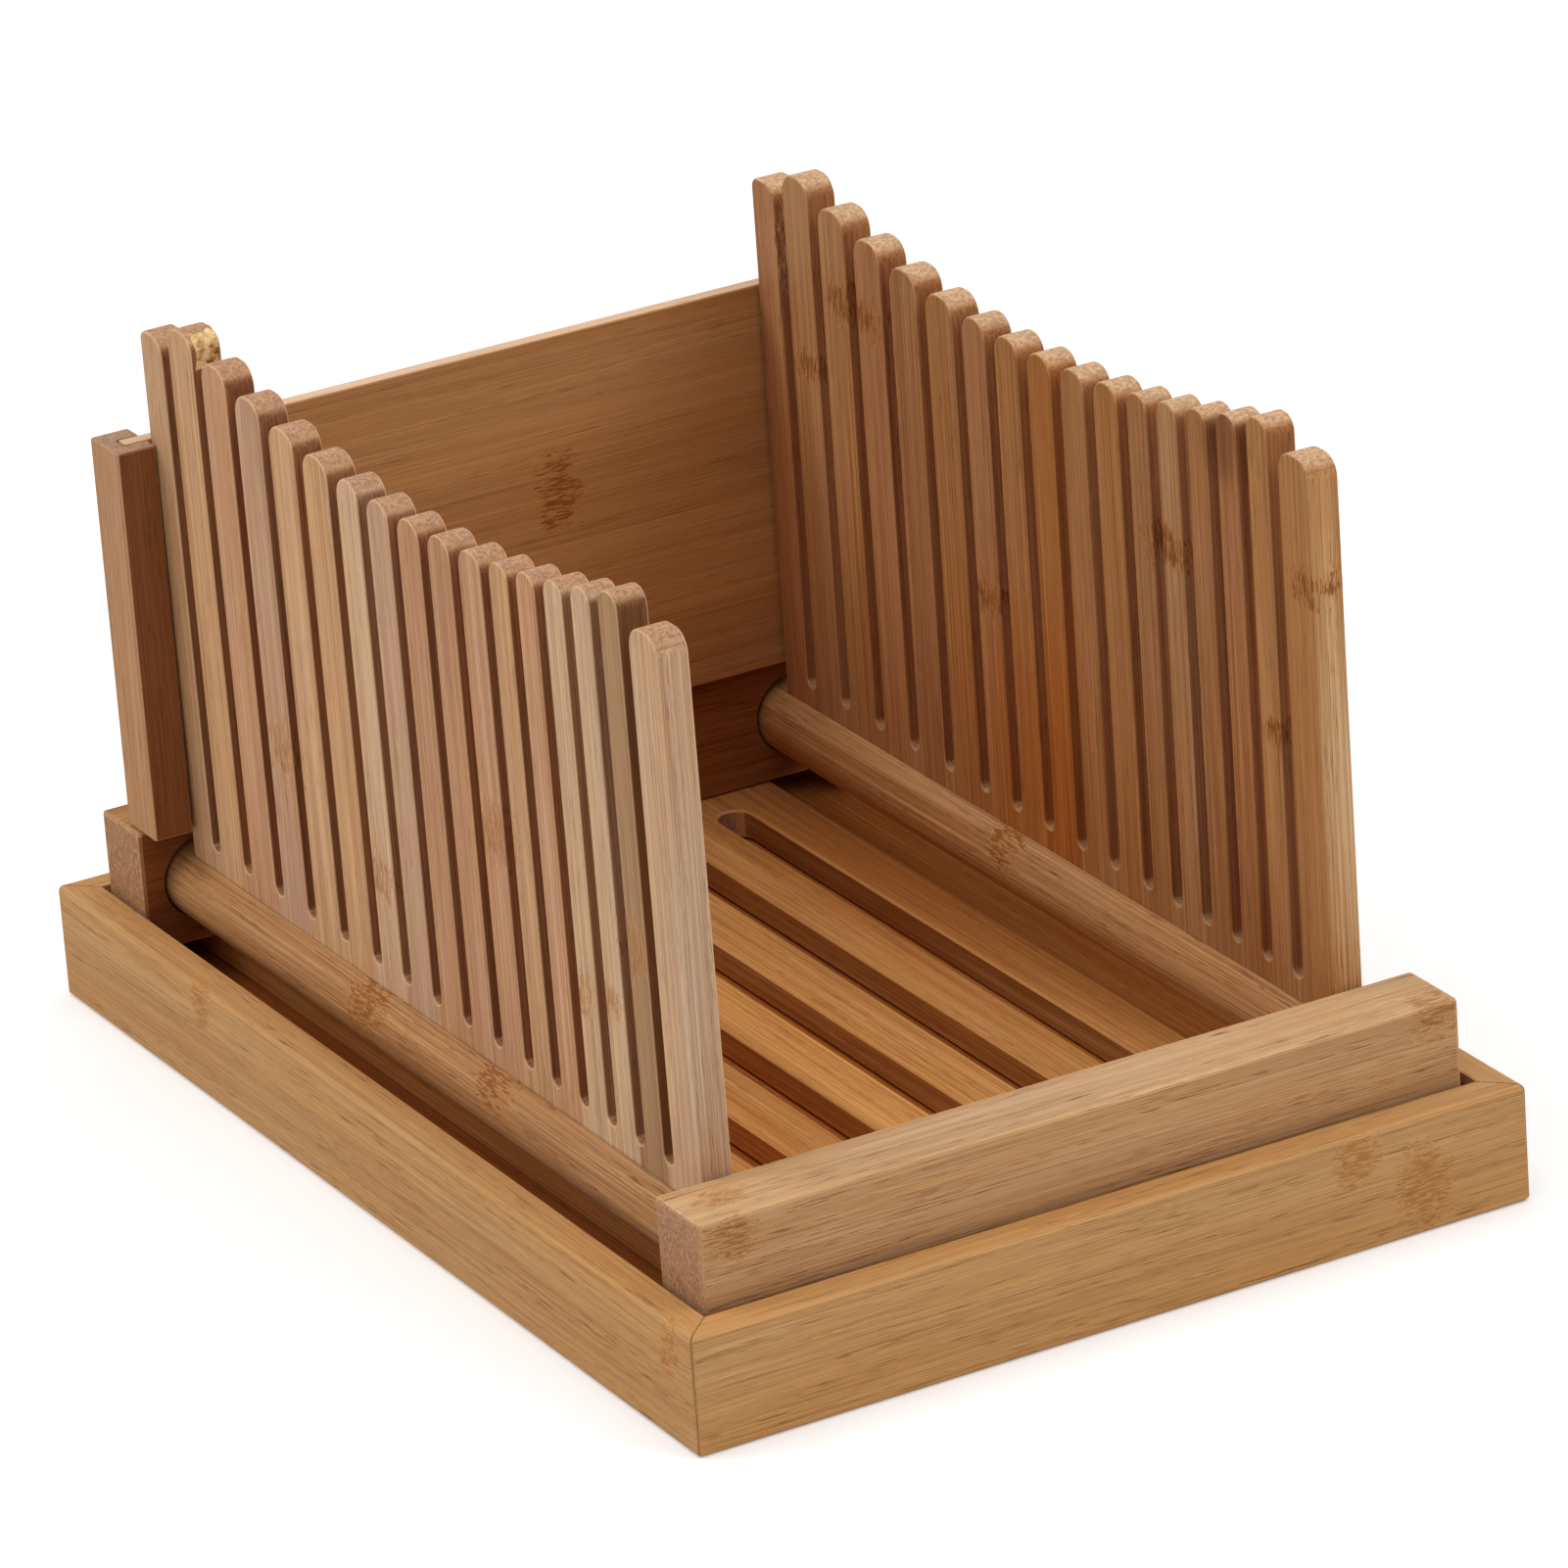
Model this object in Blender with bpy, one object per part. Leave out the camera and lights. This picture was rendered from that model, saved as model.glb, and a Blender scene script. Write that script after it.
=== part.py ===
"""Foldable bamboo bread slicing guide with a crumb tray.

Metres, +Z up. Y runs from the front rail to the back board, X across, and the origin is the middle
of the tray's underside. Run with: blender --background --python part.py
"""

import math

import bmesh
import bpy
from mathutils import Matrix

# Gap between pieces that touch, and how far a cutter runs past what it cuts
TOUCH = 0.0003
OVERRUN = 0.0020

# Crumb tray: four mitred walls round a floor panel
TRAY_LENGTH = 0.3400
TRAY_WIDTH = 0.2316
TRAY_HEIGHT = 0.0309
TRAY_WALL = 0.0087
TRAY_RIM_ROUND = 0.0018
TRAY_FOOT_EASE = 0.0008
TRAY_CORNER_ROUND = 0.0011
MITRE_GAP = 0.0002
FLOOR_THICKNESS = 0.0050
FLOOR_RAISE = 0.0055
FLOOR_TONGUE = 0.0040
FLOOR_EASE = 0.0004

# Slicer base: a slotted deck board under two cross rails, lying loose in the tray
BASE_SIDE_GAP = 0.0019
BASE_END_GAP = 0.0022
BASE_SHIFT = 0.0007
RAIL_THICKNESS = 0.0212
RAIL_HEIGHT = 0.0335
RAIL_EASE = 0.0009
DECK_THICKNESS = 0.0080
DECK_LEFT_INSET = 0.0214
DECK_RIGHT_INSET = 0.0255
DECK_LAND = 0.0154
DECK_SLOT_WIDTH = 0.0094
DECK_SLOT_END = 0.0103
DECK_EASE = 0.0006

# Countersunk screws that hold the rails to the deck, driven from below
SCREWS_PER_RAIL = 3
SCREW_DIAMETER = 0.0035
SCREW_HEAD_DIAMETER = 0.0070
SCREW_HEAD_RIM = 0.0003
SCREW_HEAD_HEIGHT = 0.0022
SCREW_LENGTH = 0.0250
SCREW_TIP = 0.0020
SCREW_TIP_SHARE = 0.5
SCREW_SINK = 0.0003
SCREW_CLEARANCE = 0.0003
SCREW_FROM_ROD = 0.0277

# Rods that the combs are glued into, turning in blind sockets in the rails
ROD_DIAMETER = 0.0205
ROD_INSET = 0.0176
ROD_CLEARANCE = 0.0011
ROD_SOCKET_WALL = 0.0092
ROD_END_PLAY = 0.0006
ROD_CHAMFER = 0.0010
ROD_GROOVE_DEPTH = 0.0090
ROD_GROOVE_CLEARANCE = 0.0002

# Combs: slats with knife slots between them, for three slice thicknesses from the back
SLICE_PITCHES = (0.018, 0.016, 0.014)
SLICES_PER_PITCH = 5
COMB_THICKNESS = 0.0085
COMB_SLOT_WIDTH = 0.0048
COMB_SLOT_RAISE = 0.0046
COMB_FIRST_SLOT = 0.0140
COMB_LEAST_SLAT = 0.0060
COMB_FRONT_GAP = 0.0008
COMB_REAR_GAP = 0.0048
COMB_MIDDLE_HEIGHT = 0.1452
COMB_END_HEIGHT = 0.1535
COMB_ARC_RADIUS = 0.4650
COMB_ARC_PLACE = -0.0035
COMB_TOP_ROUND = 0.0055
COMB_REAR_ROUND = 0.0028
COMB_FOOT_ROUND = 0.0012
COMB_EASE = 0.0005

# How far each comb has leaned outwards where it meets the top of its end bar
LEFT_COMB_LEAN = 0.0009
RIGHT_COMB_LEAN = 0.0003

# Back board frame: a thin board held between two grooved end bars, which stand on the rear rail
FRAME_HEIGHT = 0.1062
BAR_WIDTH = 0.0107
BAR_DEPTH = 0.0161
BAR_SEAT = 0.0077
BAR_EASE = 0.0006
BAR_COMB_GAP = 0.0004
BAR_GROOVE_DEPTH = 0.0064
BAR_GROOVE_FRONT = 0.0049
BOARD_THICKNESS = 0.0045
BOARD_FIT = 0.0002
BOARD_EASE = 0.0005
DOWEL_DIAMETER = 0.0040
DOWEL_WALL = 0.0009
DOWEL_IN_BAR = 0.0100
DOWEL_IN_RAIL = 0.0070
DOWEL_CLEARANCE = 0.0002
DOWEL_CHAMFER = 0.0004

# How finely round shapes are divided, and the bend between two faces that shades as an edge
ARC_STEPS = 3
EASE_STEPS = 2
RIM_STEPS = 4
ROD_SIDES = 36
PIN_SIDES = 16
SHARP_DEGREES = 35
STRAIGHT = 1e-9

# The most that a fillet takes of an edge and of a slat's width, and a board's upright corner
# radius as a share of the ease on its other edges
EDGE_SHARE = 0.98
WIDTH_SHARE = 0.45
CORNER_SHARE = 1.3

# Heights of the stack, from the table up
FLOOR_BOTTOM = FLOOR_RAISE + TOUCH
FLOOR_TOP = FLOOR_BOTTOM + FLOOR_THICKNESS
DECK_BOTTOM = FLOOR_TOP + TOUCH
DECK_TOP = DECK_BOTTOM + DECK_THICKNESS
RAIL_BOTTOM = DECK_TOP + TOUCH
RAIL_TOP = RAIL_BOTTOM + RAIL_HEIGHT
ROD_HEIGHT = RAIL_BOTTOM + RAIL_HEIGHT / 2
SOCKET_HEIGHT = ROD_HEIGHT + ROD_CLEARANCE - TOUCH
FRAME_BOTTOM = RAIL_TOP + TOUCH
FRAME_TOP = FRAME_BOTTOM + FRAME_HEIGHT

# Places on the base, measured from its own middle
BASE_HALF_WIDTH = TRAY_WIDTH / 2 - TRAY_WALL - BASE_SIDE_GAP
BASE_HALF_LENGTH = TRAY_LENGTH / 2 - TRAY_WALL - BASE_END_GAP
RAIL_FACE = BASE_HALF_LENGTH - RAIL_THICKNESS
RAIL_MIDDLE = BASE_HALF_LENGTH - RAIL_THICKNESS / 2
DECK_LEFT = -BASE_HALF_WIDTH + DECK_LEFT_INSET
DECK_RIGHT = BASE_HALF_WIDTH - DECK_RIGHT_INSET
ROD_SIDE = BASE_HALF_WIDTH - ROD_INSET
ROD_SOCKET_END = BASE_HALF_LENGTH - ROD_SOCKET_WALL
SCREW_SIDE = ROD_SIDE - SCREW_FROM_ROD

# Places of the combs and of the frame behind them
COMB_FRONT = -RAIL_FACE + COMB_FRONT_GAP
COMB_REAR = RAIL_FACE - COMB_REAR_GAP
ROD_GROOVE_FOOT = ROD_DIAMETER / 2 - ROD_GROOVE_DEPTH
COMB_SLOT_FOOT = ROD_DIAMETER / 2 + COMB_SLOT_RAISE
BAR_REAR = RAIL_FACE + BAR_SEAT
BAR_FRONT = BAR_REAR - BAR_DEPTH
GROOVE_FRONT = BAR_FRONT + BAR_GROOVE_FRONT
GROOVE_REAR = GROOVE_FRONT + BOARD_THICKNESS + 2 * BOARD_FIT
DOWEL_Y = BAR_REAR - DOWEL_WALL - DOWEL_DIAMETER / 2 - DOWEL_CLEARANCE

# Turns a shape drawn in XY and built up along Z, so that it is built up along X or along Y
ALONG_X = Matrix(((0, 0, 1, 0), (1, 0, 0, 0), (0, 1, 0, 0), (0, 0, 0, 1)))
ALONG_Y = Matrix(((0, 1, 0, 0), (0, 0, 1, 0), (1, 0, 0, 0), (0, 0, 0, 1)))
ALONG_Z = Matrix.Identity(4)

# Colour, roughness and metallic value of each material
MATERIALS = {
    "bamboo_tray": ((0.66, 0.47, 0.29), 0.45, 0),
    "bamboo_floor": ((0.58, 0.39, 0.22), 0.50, 0),
    "bamboo_deck": ((0.66, 0.45, 0.24), 0.45, 0),
    "bamboo_rail": ((0.63, 0.45, 0.28), 0.48, 0),
    "bamboo_rod": ((0.68, 0.51, 0.33), 0.45, 0),
    "bamboo_comb": ((0.70, 0.53, 0.36), 0.48, 0),
    "bamboo_board": ((0.60, 0.42, 0.25), 0.48, 0),
    "dowel_wood": ((0.72, 0.58, 0.40), 0.55, 0),
    "zinc_screw": ((0.62, 0.62, 0.64), 0.35, 1),
}


def clear_scene():
    for obj in list(bpy.data.objects):
        bpy.data.objects.remove(obj)


def make_materials():
    made = {}
    for name, (colour, roughness, metallic) in MATERIALS.items():
        material = bpy.data.materials.new(name)
        material.use_nodes = True
        shader = material.node_tree.nodes["Principled BSDF"]
        shader.inputs["Base Color"].default_value = (*colour, 1)
        shader.inputs["Roughness"].default_value = roughness
        shader.inputs["Metallic"].default_value = metallic
        made[name] = material
    return made


def unit(start, end):
    """Direction from one point to another."""
    dx = end[0] - start[0]
    dy = end[1] - start[1]
    length = math.hypot(dx, dy)
    return dx / length, dy / length


def shifted_corners(corners, inset):
    """The corners of a counter-clockwise outline with every edge moved inwards by inset."""
    moved = []
    for i, (x, y) in enumerate(corners):
        ax, ay = unit(corners[i - 1], (x, y))
        bx, by = unit((x, y), corners[(i + 1) % len(corners)])
        turn = ax * by - ay * bx
        slip = inset * (1 - ax * bx - ay * by) / turn if abs(turn) > STRAIGHT else 0.0
        moved.append((x - ay * inset - ax * slip, y + ax * inset - ay * slip))
    return moved


def rounded_outline(corners, radii, inset=0.0, steps=ARC_STEPS):
    """Points of a counter-clockwise outline, filleted and with every edge moved inwards by inset.

    An inset makes an outer fillet tighter and an inner one wider.
    """
    count = len(corners)
    moved = shifted_corners(corners, inset)
    turns = []
    tangents = []
    for i in range(count):
        ax, ay = unit(corners[i - 1], corners[i])
        bx, by = unit(corners[i], corners[(i + 1) % count])
        turn = math.atan2(ax * by - ay * bx, ax * bx + ay * by)
        radius = radii[i] - math.copysign(1, turn) * inset if radii[i] else 0.0
        turns.append(turn)
        tangents.append(radius * math.tan(abs(turn) / 2))
    points = []
    for i in range(count):
        corner = moved[i]
        if not radii[i]:
            points.append(corner)
            continue
        room = [
            min(1, EDGE_SHARE * math.dist(corner, moved[j]) / (tangents[i] + tangents[j]))
            for j in (i - 1, (i + 1) % count)
        ]
        tangent = tangents[i] * min(room)
        points += fillet(corner, moved[i - 1], moved[(i + 1) % count], turns[i], tangent, steps)
    return points


def fillet(corner, before, after, turn, tangent, steps):
    """Points of the arc that rounds one corner, from its first tangent point to its second."""
    ax, ay = unit(before, corner)
    start = (corner[0] - ax * tangent, corner[1] - ay * tangent)
    radius = math.copysign(tangent / math.tan(abs(turn) / 2), turn)
    centre = (start[0] - ay * radius, start[1] + ax * radius)
    arc = []
    for step in range(steps + 1):
        angle = turn * step / steps
        cosine, sine = math.cos(angle), math.sin(angle)
        dx, dy = start[0] - centre[0], start[1] - centre[1]
        arc.append((centre[0] + dx * cosine - dy * sine, centre[1] + dx * sine + dy * cosine))
    return arc


def circle(radius, sides):
    return [
        (radius * math.cos(2 * math.pi * side / sides), radius * math.sin(2 * math.pi * side / sides))
        for side in range(sides)
    ]


def rectangle(low_x, high_x, low_y, high_y):
    return [(low_x, low_y), (high_x, low_y), (high_x, high_y), (low_x, high_y)]


def eased_levels(low, high, ease, steps):
    """Heights with the inset of the outline there, for a solid whose two end edges are rounded."""
    edge = []
    for step in range(steps + 1):
        angle = math.pi / 2 * step / steps
        edge.append((ease * (1 - math.cos(angle)), ease * (1 - math.sin(angle))))
    return [(low + rise, inset) for rise, inset in edge] + [
        (high - rise, inset) for rise, inset in reversed(edge)
    ]


def layered_mesh(name, levels):
    """A closed mesh from levels of (height, loops): the first loop is the outline, the rest are holes."""
    bm = bmesh.new()
    rings = [
        [[bm.verts.new((x, y, height)) for x, y in loop] for loop in loops] for height, loops in levels
    ]
    for low, high in zip(rings, rings[1:]):
        for lower, upper in zip(low, high):
            for i, corner in enumerate(lower):
                bm.faces.new((lower[i - 1], corner, upper[i], upper[i - 1]))
    for loops in (rings[0], rings[-1]):
        cap(bm, loops)
    bmesh.ops.recalc_face_normals(bm, faces=bm.faces)
    mesh = bpy.data.meshes.new(name)
    bm.to_mesh(mesh)
    bm.free()
    mesh.shade_smooth()
    mesh.set_sharp_from_angle(angle=math.radians(SHARP_DEGREES))
    return mesh


def cap(bm, loops):
    if len(loops) == 1:
        bm.faces.new(loops[0])
        return
    edges = [bm.edges.get((loop[i - 1], loop[i])) for loop in loops for i in range(len(loop))]
    bmesh.ops.triangle_fill(bm, use_beauty=True, use_dissolve=False, edges=edges)


def eased_box(name, low, high, ease):
    """A board with all its edges rounded, in the place given by its two opposite corners."""
    corners = rectangle(low[0], high[0], low[1], high[1])
    return layered_mesh(
        name,
        [
            (height, [rounded_outline(corners, [CORNER_SHARE * ease] * len(corners), inset, EASE_STEPS)])
            for height, inset in eased_levels(low[2], high[2], ease, EASE_STEPS)
        ],
    )


def plain_cylinder(name, radius, low, high, sides):
    return layered_mesh(name, [(height, [circle(radius, sides)]) for height in (low, high)])


def chamfered_cylinder(name, radius, low, high, chamfer, sides):
    narrow = circle(radius - chamfer, sides)
    wide = circle(radius, sides)
    return layered_mesh(
        name,
        [(low, [narrow]), (low + chamfer, [wide]), (high - chamfer, [wide]), (high, [narrow])],
    )


def add_empty(name, location, parent=None, tilt=0.0):
    """A carrier for the pieces that move together, tilted about Y."""
    empty = bpy.data.objects.new(name, None)
    bpy.context.scene.collection.objects.link(empty)
    empty.parent = parent
    empty.matrix_local = Matrix.Translation(location) @ Matrix.Rotation(tilt, 4, "Y")
    return empty


def add(name, mesh, parent, material=None, place=ALONG_Z, location=(0.0, 0.0, 0.0)):
    obj = bpy.data.objects.new(name, mesh)
    bpy.context.scene.collection.objects.link(obj)
    if material:
        mesh.materials.append(material)
    obj.parent = parent
    obj.matrix_local = Matrix.Translation(location) @ place
    return obj


def cut(obj, name, mesh, place=ALONG_Z, location=(0.0, 0.0, 0.0)):
    """Takes the mesh out of obj with a Boolean, and keeps it in the file as a hidden cutter."""
    cutter = add(name, mesh, obj.parent, place=place, location=location)
    cutter.hide_render = True
    cutter.display_type = "WIRE"
    modifier = obj.modifiers.new(name, "BOOLEAN")
    modifier.operation = "DIFFERENCE"
    modifier.object = cutter


def wall_plan(half_length, outer, inner):
    """Plan of a mitred wall between two depths, with the tray's rounded corner at both outer ends.

    X runs along the wall, and Y is the depth in from the tray's outer face.
    """
    radius = max(TRAY_CORNER_ROUND - outer, TRAY_CORNER_ROUND * (1 - EDGE_SHARE))
    end = half_length - MITRE_GAP
    arc = []
    for step in range(ARC_STEPS + 1):
        angle = math.pi / 4 * step / ARC_STEPS
        along = outer + radius - radius * math.sin(angle)
        depth = outer + radius - radius * math.cos(angle)
        arc.append((end - along, depth))
    right = arc + [(end - inner, inner)]
    left = [(-x, depth) for x, depth in reversed(right)]
    return left + right


def wall_levels(half_length):
    """The wall from its foot to its rim: an eased foot, a groove for the floor and a rounded rim."""
    groove_low = FLOOR_BOTTOM - TOUCH
    groove_high = FLOOR_TOP + TOUCH
    grooved = TRAY_WALL - FLOOR_TONGUE - TOUCH
    levels = [
        (0.0, TRAY_FOOT_EASE, TRAY_WALL),
        (TRAY_FOOT_EASE, 0.0, TRAY_WALL),
        (groove_low, 0.0, TRAY_WALL),
        (groove_low, 0.0, grooved),
        (groove_high, 0.0, grooved),
        (groove_high, 0.0, TRAY_WALL),
    ]
    for step in range(RIM_STEPS + 1):
        angle = math.pi / 2 * step / RIM_STEPS
        rise = TRAY_RIM_ROUND * math.sin(angle)
        depth = TRAY_RIM_ROUND * (1 - math.cos(angle))
        levels.append((TRAY_HEIGHT - TRAY_RIM_ROUND + rise, depth, TRAY_WALL))
    return [(height, [wall_plan(half_length, outer, inner)]) for height, outer, inner in levels]


def make_tray(materials):
    tray = add_empty("tray", (0.0, 0.0, 0.0))
    half_width = TRAY_WIDTH / 2
    half_length = TRAY_LENGTH / 2
    walls = (
        ("tray_front_wall", half_width, half_length),
        ("tray_right_wall", half_length, half_width),
        ("tray_rear_wall", half_width, half_length),
        ("tray_left_wall", half_length, half_width),
    )
    for quarter, (name, reach, distance) in enumerate(walls):
        turn = Matrix.Rotation(math.pi / 2 * quarter, 4, "Z")
        place = turn @ Matrix.Translation((0.0, -distance, 0.0))
        add(name, layered_mesh(name, wall_levels(reach)), tray, materials["bamboo_tray"], place)
    side = half_width - TRAY_WALL + FLOOR_TONGUE
    end = half_length - TRAY_WALL + FLOOR_TONGUE
    panel = eased_box("tray_floor", (-side, -end, FLOOR_BOTTOM), (side, end, FLOOR_TOP), FLOOR_EASE)
    add("tray_floor", panel, tray, materials["bamboo_floor"])


def deck_slots():
    """Middles of the deck's crumb slots across X, as many as leave lands of about the named width."""
    width = DECK_RIGHT - DECK_LEFT
    count = round((width - DECK_LAND) / (DECK_LAND + DECK_SLOT_WIDTH))
    land = (width - count * DECK_SLOT_WIDTH) / (count + 1)
    pitch = land + DECK_SLOT_WIDTH
    return [DECK_LEFT + land + DECK_SLOT_WIDTH / 2 + pitch * index for index in range(count)]


def make_deck(base, materials):
    slot_end = RAIL_FACE - DECK_SLOT_END
    board = rectangle(DECK_LEFT, DECK_RIGHT, -BASE_HALF_LENGTH, BASE_HALF_LENGTH)
    half = DECK_SLOT_WIDTH / 2
    levels = []
    for height, inset in eased_levels(DECK_BOTTOM, DECK_TOP, DECK_EASE, 1):
        loops = [rounded_outline(board, [CORNER_SHARE * DECK_EASE] * len(board), inset)]
        for middle in deck_slots():
            slot = rectangle(middle - half, middle + half, -slot_end, slot_end)
            loops.append(rounded_outline(slot, [EDGE_SHARE * half] * len(slot), -inset))
        levels.append((height, loops))
    deck = add("deck_board", layered_mesh("deck_board", levels), base, materials["bamboo_deck"])
    for place, x, y in screw_places():
        cut(deck, f"cut_deck_{place}", screw_mesh("screw_hole", SCREW_CLEARANCE), location=(x, y, 0.0))


def screw_places():
    """Name, X and Y of every screw."""
    names = ("left", "middle", "right")
    return [
        (f"{end}_{names[index]}", SCREW_SIDE * (2 * index / (SCREWS_PER_RAIL - 1) - 1), side * RAIL_MIDDLE)
        for end, side in (("front", -1), ("rear", 1))
        for index in range(SCREWS_PER_RAIL)
    ]


def screw_mesh(name, clearance=0.0):
    """A countersunk screw standing on its head, or with a clearance the hole that it sits in."""
    low = DECK_BOTTOM + SCREW_SINK
    foot = low - OVERRUN if clearance else low
    head = low + SCREW_HEAD_RIM + clearance
    top = low + SCREW_LENGTH + clearance
    head_radius = SCREW_HEAD_DIAMETER / 2 + clearance
    shank_radius = SCREW_DIAMETER / 2 + clearance
    profile = (
        (foot, head_radius),
        (head, head_radius),
        (head + SCREW_HEAD_HEIGHT, shank_radius),
        (top - SCREW_TIP, shank_radius),
        (top, SCREW_TIP_SHARE * SCREW_DIAMETER / 2 + clearance),
    )
    return layered_mesh(name, [(height, [circle(radius, PIN_SIDES)]) for height, radius in profile])


def make_screws(base, materials):
    for place, x, y in screw_places():
        add(f"rail_screw_{place}", screw_mesh("rail_screw"), base, materials["zinc_screw"], location=(x, y, 0.0))


def make_rail(name, side, base, materials):
    """A cross rail on the deck's end, with a blind socket for each rod in its inner face."""
    low_y, high_y = sorted((side * RAIL_FACE, side * BASE_HALF_LENGTH))
    low = (-BASE_HALF_WIDTH, low_y, RAIL_BOTTOM)
    high = (BASE_HALF_WIDTH, high_y, RAIL_TOP)
    rail = add(name, eased_box(name, low, high, RAIL_EASE), base, materials["bamboo_rail"])
    ends = sorted((side * (RAIL_FACE - OVERRUN), side * ROD_SOCKET_END))
    for rod, x in (("left", -ROD_SIDE), ("right", ROD_SIDE)):
        socket = plain_cylinder("rod_socket", ROD_DIAMETER / 2 + ROD_CLEARANCE, *ends, ROD_SIDES)
        cut(rail, f"cut_{name}_{rod}_rod", socket, ALONG_Y, (x, 0.0, SOCKET_HEIGHT))
    for place, x, y in screw_places():
        if y * side > 0:
            hole = screw_mesh("screw_hole", SCREW_CLEARANCE)
            cut(rail, f"cut_{name}_{place}", hole, location=(x, y, 0.0))
    return rail


def make_rod(name, axis, materials):
    """A rod grooved along its top for the comb, with a full round journal at each end."""
    reach = ROD_SOCKET_END - ROD_END_PLAY
    body = chamfered_cylinder(name, ROD_DIAMETER / 2, -reach, reach, ROD_CHAMFER, ROD_SIDES)
    rod = add(name, body, axis, materials["bamboo_rod"], ALONG_Y)
    half = COMB_THICKNESS / 2 + ROD_GROOVE_CLEARANCE
    groove = rectangle(ROD_GROOVE_FOOT, ROD_DIAMETER / 2 + OVERRUN, -half, half)
    ends = (COMB_FRONT - TOUCH, COMB_REAR + TOUCH)
    cut(rod, f"cut_{name}_groove", layered_mesh("rod_groove", [(end, [groove]) for end in ends]), ALONG_Y)


def comb_slots():
    """Middles of the knife slots along Y, from the back to the front."""
    places = [COMB_REAR - COMB_FIRST_SLOT]
    end = COMB_FRONT + COMB_LEAST_SLAT + COMB_SLOT_WIDTH / 2
    for pitch in SLICE_PITCHES:
        for _ in range(SLICES_PER_PITCH):
            if places[-1] - pitch >= end:
                places.append(places[-1] - pitch)
    return places


def comb_top(y):
    """Height of a slat's top above the rod's axis, on an arc that is lowest near the middle."""
    return COMB_MIDDLE_HEIGHT + COMB_ARC_RADIUS - math.sqrt(COMB_ARC_RADIUS**2 - (y - COMB_ARC_PLACE) ** 2)


def comb_outline():
    """Corners of a comb in (Y, height above the rod's axis), and the fillet radius of each."""
    foot = ROD_GROOVE_FOOT + TOUCH
    corners = [(COMB_FRONT, foot), (COMB_REAR, foot)]
    radii = [COMB_FOOT_ROUND, COMB_FOOT_ROUND]
    half = COMB_SLOT_WIDTH / 2
    slots = comb_slots()
    rears = [COMB_REAR] + [middle - half for middle in slots]
    fronts = [middle + half for middle in slots] + [COMB_FRONT]
    for index, (rear, front) in enumerate(zip(rears, fronts)):
        end_slat = index in (0, len(slots))
        rear_round = COMB_REAR_ROUND if index == 0 else COMB_TOP_ROUND
        top = COMB_END_HEIGHT if end_slat else comb_top((rear + front) / 2)
        for y, wanted in ((rear, rear_round), (front, COMB_TOP_ROUND)):
            corners.append((y, top))
            radii.append(min(wanted, WIDTH_SHARE * (rear - front)))
        if index < len(slots):
            corners += [(front, COMB_SLOT_FOOT), (rears[index + 1], COMB_SLOT_FOOT)]
            radii += [EDGE_SHARE * half, EDGE_SHARE * half]
    return corners, radii


def make_comb(name, axis, materials):
    corners, radii = comb_outline()
    half = COMB_THICKNESS / 2
    levels = [
        (height, [rounded_outline(corners, radii, inset)])
        for height, inset in eased_levels(-half, half, COMB_EASE, 1)
    ]
    add(name, layered_mesh(name, levels), axis, materials["bamboo_comb"], ALONG_X)


def bar_inner(lean):
    """How far an end bar's inner face is from the base's middle, with the comb leaned against it."""
    tilt = math.atan(lean / (FRAME_TOP - ROD_HEIGHT))
    return ROD_SIDE + COMB_THICKNESS / 2 / math.cos(tilt) + lean + BAR_COMB_GAP


def make_end_bar(name, side, lean, base, materials):
    """An upright bar with a groove for the board down its inner face and a dowel hole in its foot."""
    inner = side * bar_inner(lean)
    outer = side * (bar_inner(lean) + BAR_WIDTH)
    groove = side * (bar_inner(lean) + BAR_GROOVE_DEPTH)
    corner = CORNER_SHARE * BAR_EASE
    outline = [
        (inner, BAR_FRONT, corner),
        (outer, BAR_FRONT, corner),
        (outer, BAR_REAR, corner),
        (inner, BAR_REAR, corner),
        (inner, GROOVE_REAR, 0.0),
        (groove, GROOVE_REAR, 0.0),
        (groove, GROOVE_FRONT, 0.0),
        (inner, GROOVE_FRONT, 0.0),
    ]
    if side < 0:
        outline.reverse()
    corners = [(x, y) for x, y, _ in outline]
    radii = [radius for _, _, radius in outline]
    levels = [
        (height, [rounded_outline(corners, radii, inset)])
        for height, inset in eased_levels(FRAME_BOTTOM, FRAME_TOP, BAR_EASE, EASE_STEPS)
    ]
    bar = add(name, layered_mesh(name, levels), base, materials["bamboo_board"])
    cut_dowel_hole(bar, name, side, lean)


def dowel_place(side, lean):
    return (side * (bar_inner(lean) + BAR_WIDTH / 2), DOWEL_Y, 0.0)


def cut_dowel_hole(obj, name, side, lean):
    low = RAIL_TOP - DOWEL_IN_RAIL - DOWEL_CLEARANCE
    high = FRAME_BOTTOM + DOWEL_IN_BAR + DOWEL_CLEARANCE
    hole = plain_cylinder("dowel_hole", DOWEL_DIAMETER / 2 + DOWEL_CLEARANCE, low, high, PIN_SIDES)
    cut(obj, f"cut_{name}_dowel", hole, location=dowel_place(side, lean))


def make_dowel(name, side, lean, base, materials):
    low = RAIL_TOP - DOWEL_IN_RAIL
    high = FRAME_BOTTOM + DOWEL_IN_BAR
    pin = chamfered_cylinder("frame_dowel", DOWEL_DIAMETER / 2, low, high, DOWEL_CHAMFER, PIN_SIDES)
    add(name, pin, base, materials["dowel_wood"], location=dowel_place(side, lean))


def make_back_board(base, materials):
    reach = BAR_GROOVE_DEPTH - TOUCH
    front = GROOVE_FRONT + BOARD_FIT
    low = (-bar_inner(LEFT_COMB_LEAN) - reach, front, FRAME_BOTTOM)
    high = (bar_inner(RIGHT_COMB_LEAN) + reach, front + BOARD_THICKNESS, FRAME_TOP)
    add("back_board", eased_box("back_board", low, high, BOARD_EASE), base, materials["bamboo_board"])


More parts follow.
